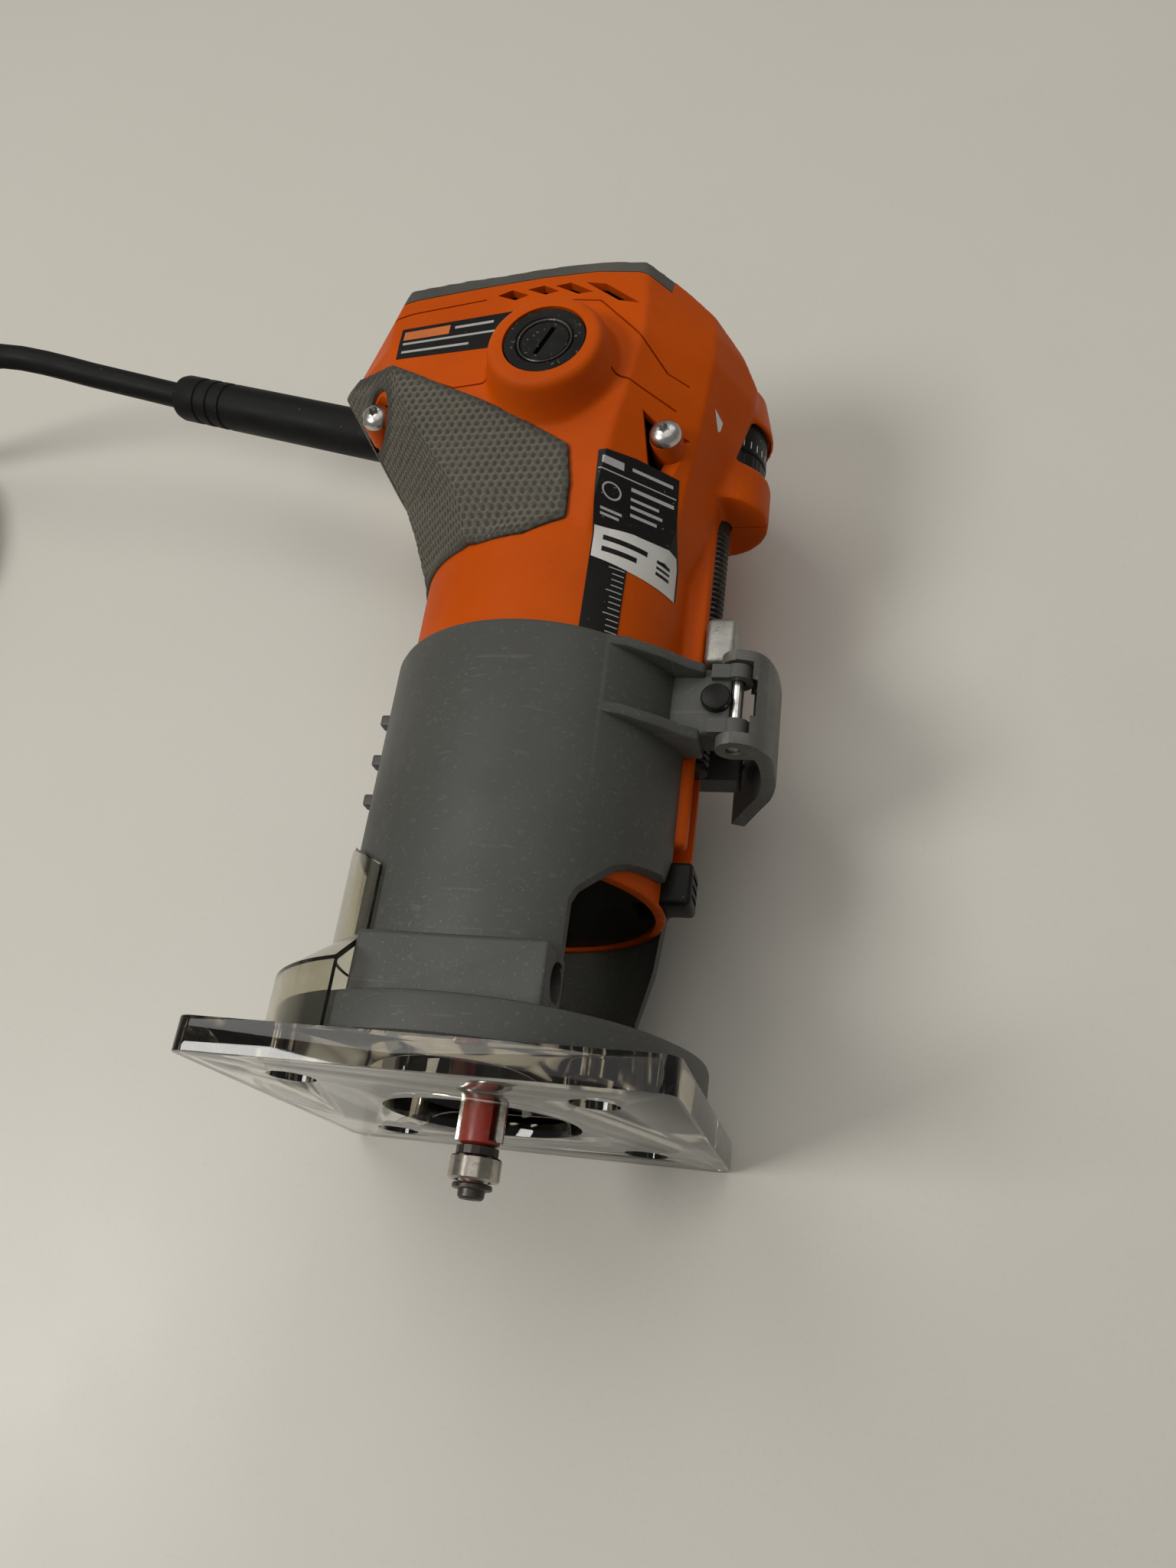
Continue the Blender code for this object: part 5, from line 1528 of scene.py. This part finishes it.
@dataclass
class Lead:
    """Strain relief, cord, coil and plug."""

    diameter: float = 8.0
    sleeve: float = 14.2
    coil_x: float = -300.0
    coil_y: float = 172.0
    coil_r: float = 48.0
    section: float = 13.5
    length: float = 2.1
    turns: float = 6.25
    per_turn: int = 30
    shift: float = 22.0
    spread: float = 64.0
    route: tuple[Point, ...] = (
        (-152.6, 215.9, 51.2), (-172.0, 220.0, 54.0), (-188.5, 223.2, 57.3), (-204.9, 225.2, 59.6),
        (-221.0, 226.0, 57.2), (-237.0, 226.2, 50.5), (-250.0, 226.0, 42.5), (-261.0, 225.6, 34.5),
        (-271.0, 225.2, 28.0), (-285.0, 224.85, 23.2))
    slots: tuple[Flat, ...] = ((4.7, 8.14), (-4.7, 8.14), (-9.4, 0.0), (0.0, 0.0), (-4.7, -8.14), (4.7, -8.14),
                               (9.4, 0.0))

    def coil(self) -> list[Vector]:
        """Turns of the coil, each moving over to its next place a little earlier than the last.

        Returns:
            The coil's points.
        """
        points = []
        for i in range(int(self.turns * self.per_turn) + 1):
            swept = 360.0 * i / self.per_turn
            radial, up = Vector(self.slots[0])
            for k in range(1, len(self.slots)):
                start = 360.0 * k - self.shift * k - self.spread
                share = min(max((swept - start) / self.spread, 0.0), 1.0)
                share = share * share * (3 - 2 * share)
                step = Vector(self.slots[k]) - Vector(self.slots[k - 1])
                radial += step.x * share
                up += step.y * share
            turn = math.radians(90.0 + swept)
            reach = self.coil_r + radial
            points.append(Vector((self.coil_x + reach * math.cos(turn), self.coil_y + reach * math.sin(turn),
                                  self.section + up)))
        return points

    def relief(self) -> Obj:
        """Sleeve with shallow rings near its outer end.

        Returns:
            The finished sleeve.
        """
        start, end = Vector(EXIT_START), Vector(EXIT_END)
        length = (end - start).length
        r = self.sleeve / 2
        profile = [(0.0, length), (4.2, length), (r - 1.8, length - 0.1), (r - 0.5, length - 1.0), (r, length - 2.6)]
        for back in (10.0, 15.0, 20.0):
            at = length - back
            profile += [(r, at + 1.2), (r - 0.45, at + 0.8), (r - 0.45, at - 0.8), (r, at - 1.2)]
        profile += [(r, 0.0), (0.0, 0.0)]
        sleeve = spun(profile, tuple(start), tuple(end - start), 64)
        return made(sleeve, "strain_sleeve", CORD_BLACK, "motor", ["strain_relief"])

    def plug(self) -> list[Obj]:
        """Plug with a ribbed grip, and its two blades.

        Returns:
            The finished plug and blades.
        """
        x, y = self.coil_x - self.coil_r - 9.4, self.coil_y - PLUG_DROP
        body = spun([(0.0, 38.0), (11.0, 38.0), (12.3, 37.2), (12.5, 36.0), (12.5, 26.0), (11.4, 22.0), (9.0, 16.0),
                     (7.2, 12.0), (6.2, 8.0), (5.6, 5.0), (5.8, 4.2), (5.4, 3.4), (5.4, 1.6), (4.7, 0.0),
                     (0.0, 0.0)], (x, y, self.section), (0.0, -1.0, 0.0), 48)
        for side in (1, -1):
            for step in range(4):
                at = y - 17.5 - 2.4 * step
                low, high = sorted((self.section + side * (9.6 + 0.5 * step), self.section + side * 14.0))
                cut(body, box((x - 8.0, at - 0.5, low), (x + 8.0, at + 0.5, high)))
        pieces = [made(body, "ribbed_plug", CORD_BLACK, "motor", ["plug_body"])]
        for side, word in ((1, "right"), (-1, "left")):
            place, foot = x + side * 6.35, y - 38.2
            blade = box((place - 0.75, foot - 16.6, self.section - 3.2),
                        (place + 0.75, foot, self.section + 3.2), 0.3)
            hole = foot - 12.5
            cut(blade, rod((place - 2.0, hole, self.section), (place + 2.0, hole, self.section), 1.5, 24))
            pieces.append(made(blade, "blade_" + word, BRASS, "motor", ["plug_blade_" + word]))
        return pieces

    def build(self) -> None:
        """Make the cord from the case to its plug."""
        self.relief()
        toward = (Vector(EXIT_END) - Vector(EXIT_START)).normalized()
        first = Vector(EXIT_END) + toward * 0.3
        coil = self.coil()
        lead_in = smooth_route([tuple(first), *self.route, tuple(coil[0])], 2)
        plug_y = self.coil_y - PLUG_DROP
        last = coil[-1]
        tail = [Vector((last.x, last.y + (plug_y - last.y) * step / 4, last.z)) for step in range(1, 5)]
        cord = cable([tuple(p) for p in lead_in[:-1] + coil + tail], self.diameter, "mains_cord", 5)
        made(cord, "mains_cord", CORD_BLACK, "motor", ["power_cord", "cord_coil"])
        pieces = self.plug()


@dataclass
class Controls:
    """Rocker switch, speed dial and spindle lock."""

    rocker_y: float = 206.6
    lean: float = -7.0

    def build(self) -> None:
        """Make the three controls."""
        half = SWITCH_HALF - 0.8
        rocker = prism(((SWITCH_X - half, self.rocker_y + 1.0), (SWITCH_X, self.rocker_y),
                        (SWITCH_X + half, self.rocker_y + 1.0), (SWITCH_X + half, self.rocker_y + 6.4),
                        (SWITCH_X + half / 2, self.rocker_y + 5.2), (SWITCH_X, self.rocker_y + 4.8),
                        (SWITCH_X - half / 2, self.rocker_y + 5.2), (SWITCH_X - half, self.rocker_y + 6.4)),
                       AXIS_Z - half, AXIS_Z + half)
        bevel(rocker, 0.4, 2, 40.0)
        rocker.data.transform(about((SWITCH_X, self.rocker_y, AXIS_Z), self.lean, "Z"))
        made(rocker, "rocker", BLACK, "switch_rocker", ["switch_rocker"])
        top = SWITCH_Y + 8.5
        knob = spun([(0.0, SWITCH_Y + 0.3), (SPEED_R - 0.2, SWITCH_Y + 0.3), (SPEED_R - 0.2, top - 0.9),
                     (SPEED_R - 0.9, top - 0.2), (SPEED_R - 2.2, top), (0.0, top)], (SPEED_X, 0.0, AXIS_Z), steps=72)
        rib = rod((SPEED_X + SPEED_R, SWITCH_Y, AXIS_Z), (SPEED_X + SPEED_R, top + 1.0, AXIS_Z), 0.55, 10)
        cut(knob, copies(rib, [about((SPEED_X, 0.0, AXIS_Z), 360.0 * i / 24, "Y") for i in range(24)]))
        cut(knob, box((SPEED_X - 0.5, top - 0.9, AXIS_Z + 1.0), (SPEED_X + 0.5, top + 1.0, AXIS_Z + SPEED_R + 1.0)))
        made(knob, "speed_knob", BLACK, "speed_dial", ["speed_dial"])
        button = box((33.3, 46.8, AXIS_Z - 5.2), (42.0, 57.2, AXIS_Z + 5.2), 1.2)
        for step in range(3):
            cut(button, box((41.5, 49.2 + 2.4 * step, AXIS_Z - 3.6), (43.0, 50.2 + 2.4 * step, AXIS_Z + 3.6)))
        join(button, rod((21.0, 52.0, AXIS_Z), (34.5, 52.0, AXIS_Z), 2.3, 32))
        made(button, "lock_key", BLACK, "lock_button", ["lock_button"])


@dataclass
class Carried:
    """CAD nodes that keep their shape and get their finish."""

    finishes: tuple[tuple[Finish, str], ...] = (
        (LAMINATED, "field_core armature_core"),
        (COPPER, "field_coil_lower field_coil_upper armature_coil_lower armature_coil_upper"),
        (BARS, "commutator"),
        (CARBON, "brush_front brush_rear"),
        (BOARD, "control_board"),
        (BLACK, "switch_body nose_cover cooling_fan"),
        (BRIGHT, "bearing_lower bearing_upper spindle_shaft collet brush_spring_front brush_spring_rear"),
        (BRIGHT, "clamp_nut lever_pin"),
        (DARK, "bit_collar plate_screw_1 plate_screw_2 plate_screw_3 plate_screw_4"))

    def build(self) -> None:
        """Assign each finish to its nodes' slots."""
        for finish, names in self.finishes:
            for name in names.split():
                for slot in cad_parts[name].material_slots:
                    slot.material = finish.material()
                LOG.info("%s keeps its shape", name)


@dataclass
class Studio:
    """Table, lights, world and camera."""

    lens: float = 27.07
    place: Point = (0.08133, -0.0405, 0.30535)
    right: Point = (0.97167, 0.12471, -0.20076)
    down: Point = (0.02743, -0.90322, -0.4283)
    view: Point = (-0.23474, 0.41066, -0.88105)
    aim: Point = (0.0, 0.12, 0.04)
    table_side: float = 6.0
    room_tint: tuple[float, float, float, float] = (1.0, 0.985, 0.96, 1.0)
    room_strength: float = 0.21
    lights: tuple[tuple[str, Point, float, float, Rgb], ...] = (
        ("key_light", (-0.80, -0.22, 1.13), 0.42, 8.5, (1.0, 0.985, 0.955)),
        ("window_light", (-0.55, 0.55, 1.2), 0.6, 3.4, (1.0, 0.985, 0.94)),
        ("ceiling_light", (0.15, 0.25, 1.5), 1.1, 2.8, (1.0, 0.98, 0.94)),
        ("back_light", (0.45, 1.0, 1.1), 0.9, 2.4, (1.0, 0.985, 0.95)))

    def light(self, name: str, place: Point, size: float, power: float, colour: Rgb) -> None:
        """Add a square light that faces the router.

        Args:
            name: its name.
            place: where it hangs, in metres.
            size: its side in metres.
            power: its power in watts.
            colour: its colour.
        """
        data = bpy.data.lights.new(name, "AREA")
        data.shape = "SQUARE"
        data.size = size
        data.energy = power
        data.color = colour
        obj = bpy.data.objects.new(name, data)
        obj.location = place
        obj.rotation_euler = (Vector(self.aim) - Vector(place)).to_track_quat("-Z", "Y").to_euler()
        bpy.context.scene.collection.objects.link(obj)

    def build(self) -> None:
        """Set the stage."""
        bpy.ops.object.select_all(action="DESELECT")
        bpy.ops.mesh.primitive_plane_add(size=self.table_side)
        table = bpy.context.object
        table.name = "table_top"
        table.data.materials.append(TABLE.material())
        for row in self.lights:
            self.light(*row)
        world = bpy.data.worlds.new("room")
        world.use_nodes = True
        glow = world.node_tree.nodes["Background"]
        glow.inputs["Color"].default_value = self.room_tint
        glow.inputs["Strength"].default_value = self.room_strength
        bpy.context.scene.world = world
        data = bpy.data.cameras.new("camera")
        data.lens = self.lens
        data.sensor_width = 36.0
        data.sensor_fit = "AUTO"
        data.clip_start = 0.01
        camera = bpy.data.objects.new("camera", data)
        rows = Matrix((self.right, tuple(-v for v in self.down), tuple(-v for v in self.view)))
        camera.matrix_world = Matrix.Translation(self.place) @ rows.transposed().to_4x4()
        bpy.context.scene.collection.objects.link(camera)
        bpy.context.scene.camera = camera
        bpy.context.scene.view_settings.view_transform = "Standard"


def main() -> None:
    """Build every sub-assembly in order."""
    logging.basicConfig(level=logging.INFO, format="%(message)s")
    for part in (Studio(), Lead(), Case(), Adjuster(), Base(), Plate(), Bit(), Controls(), Carried()):
        LOG.info("-- %s", type(part).__name__)
        part.build()


if __name__ == "__main__":
    main()
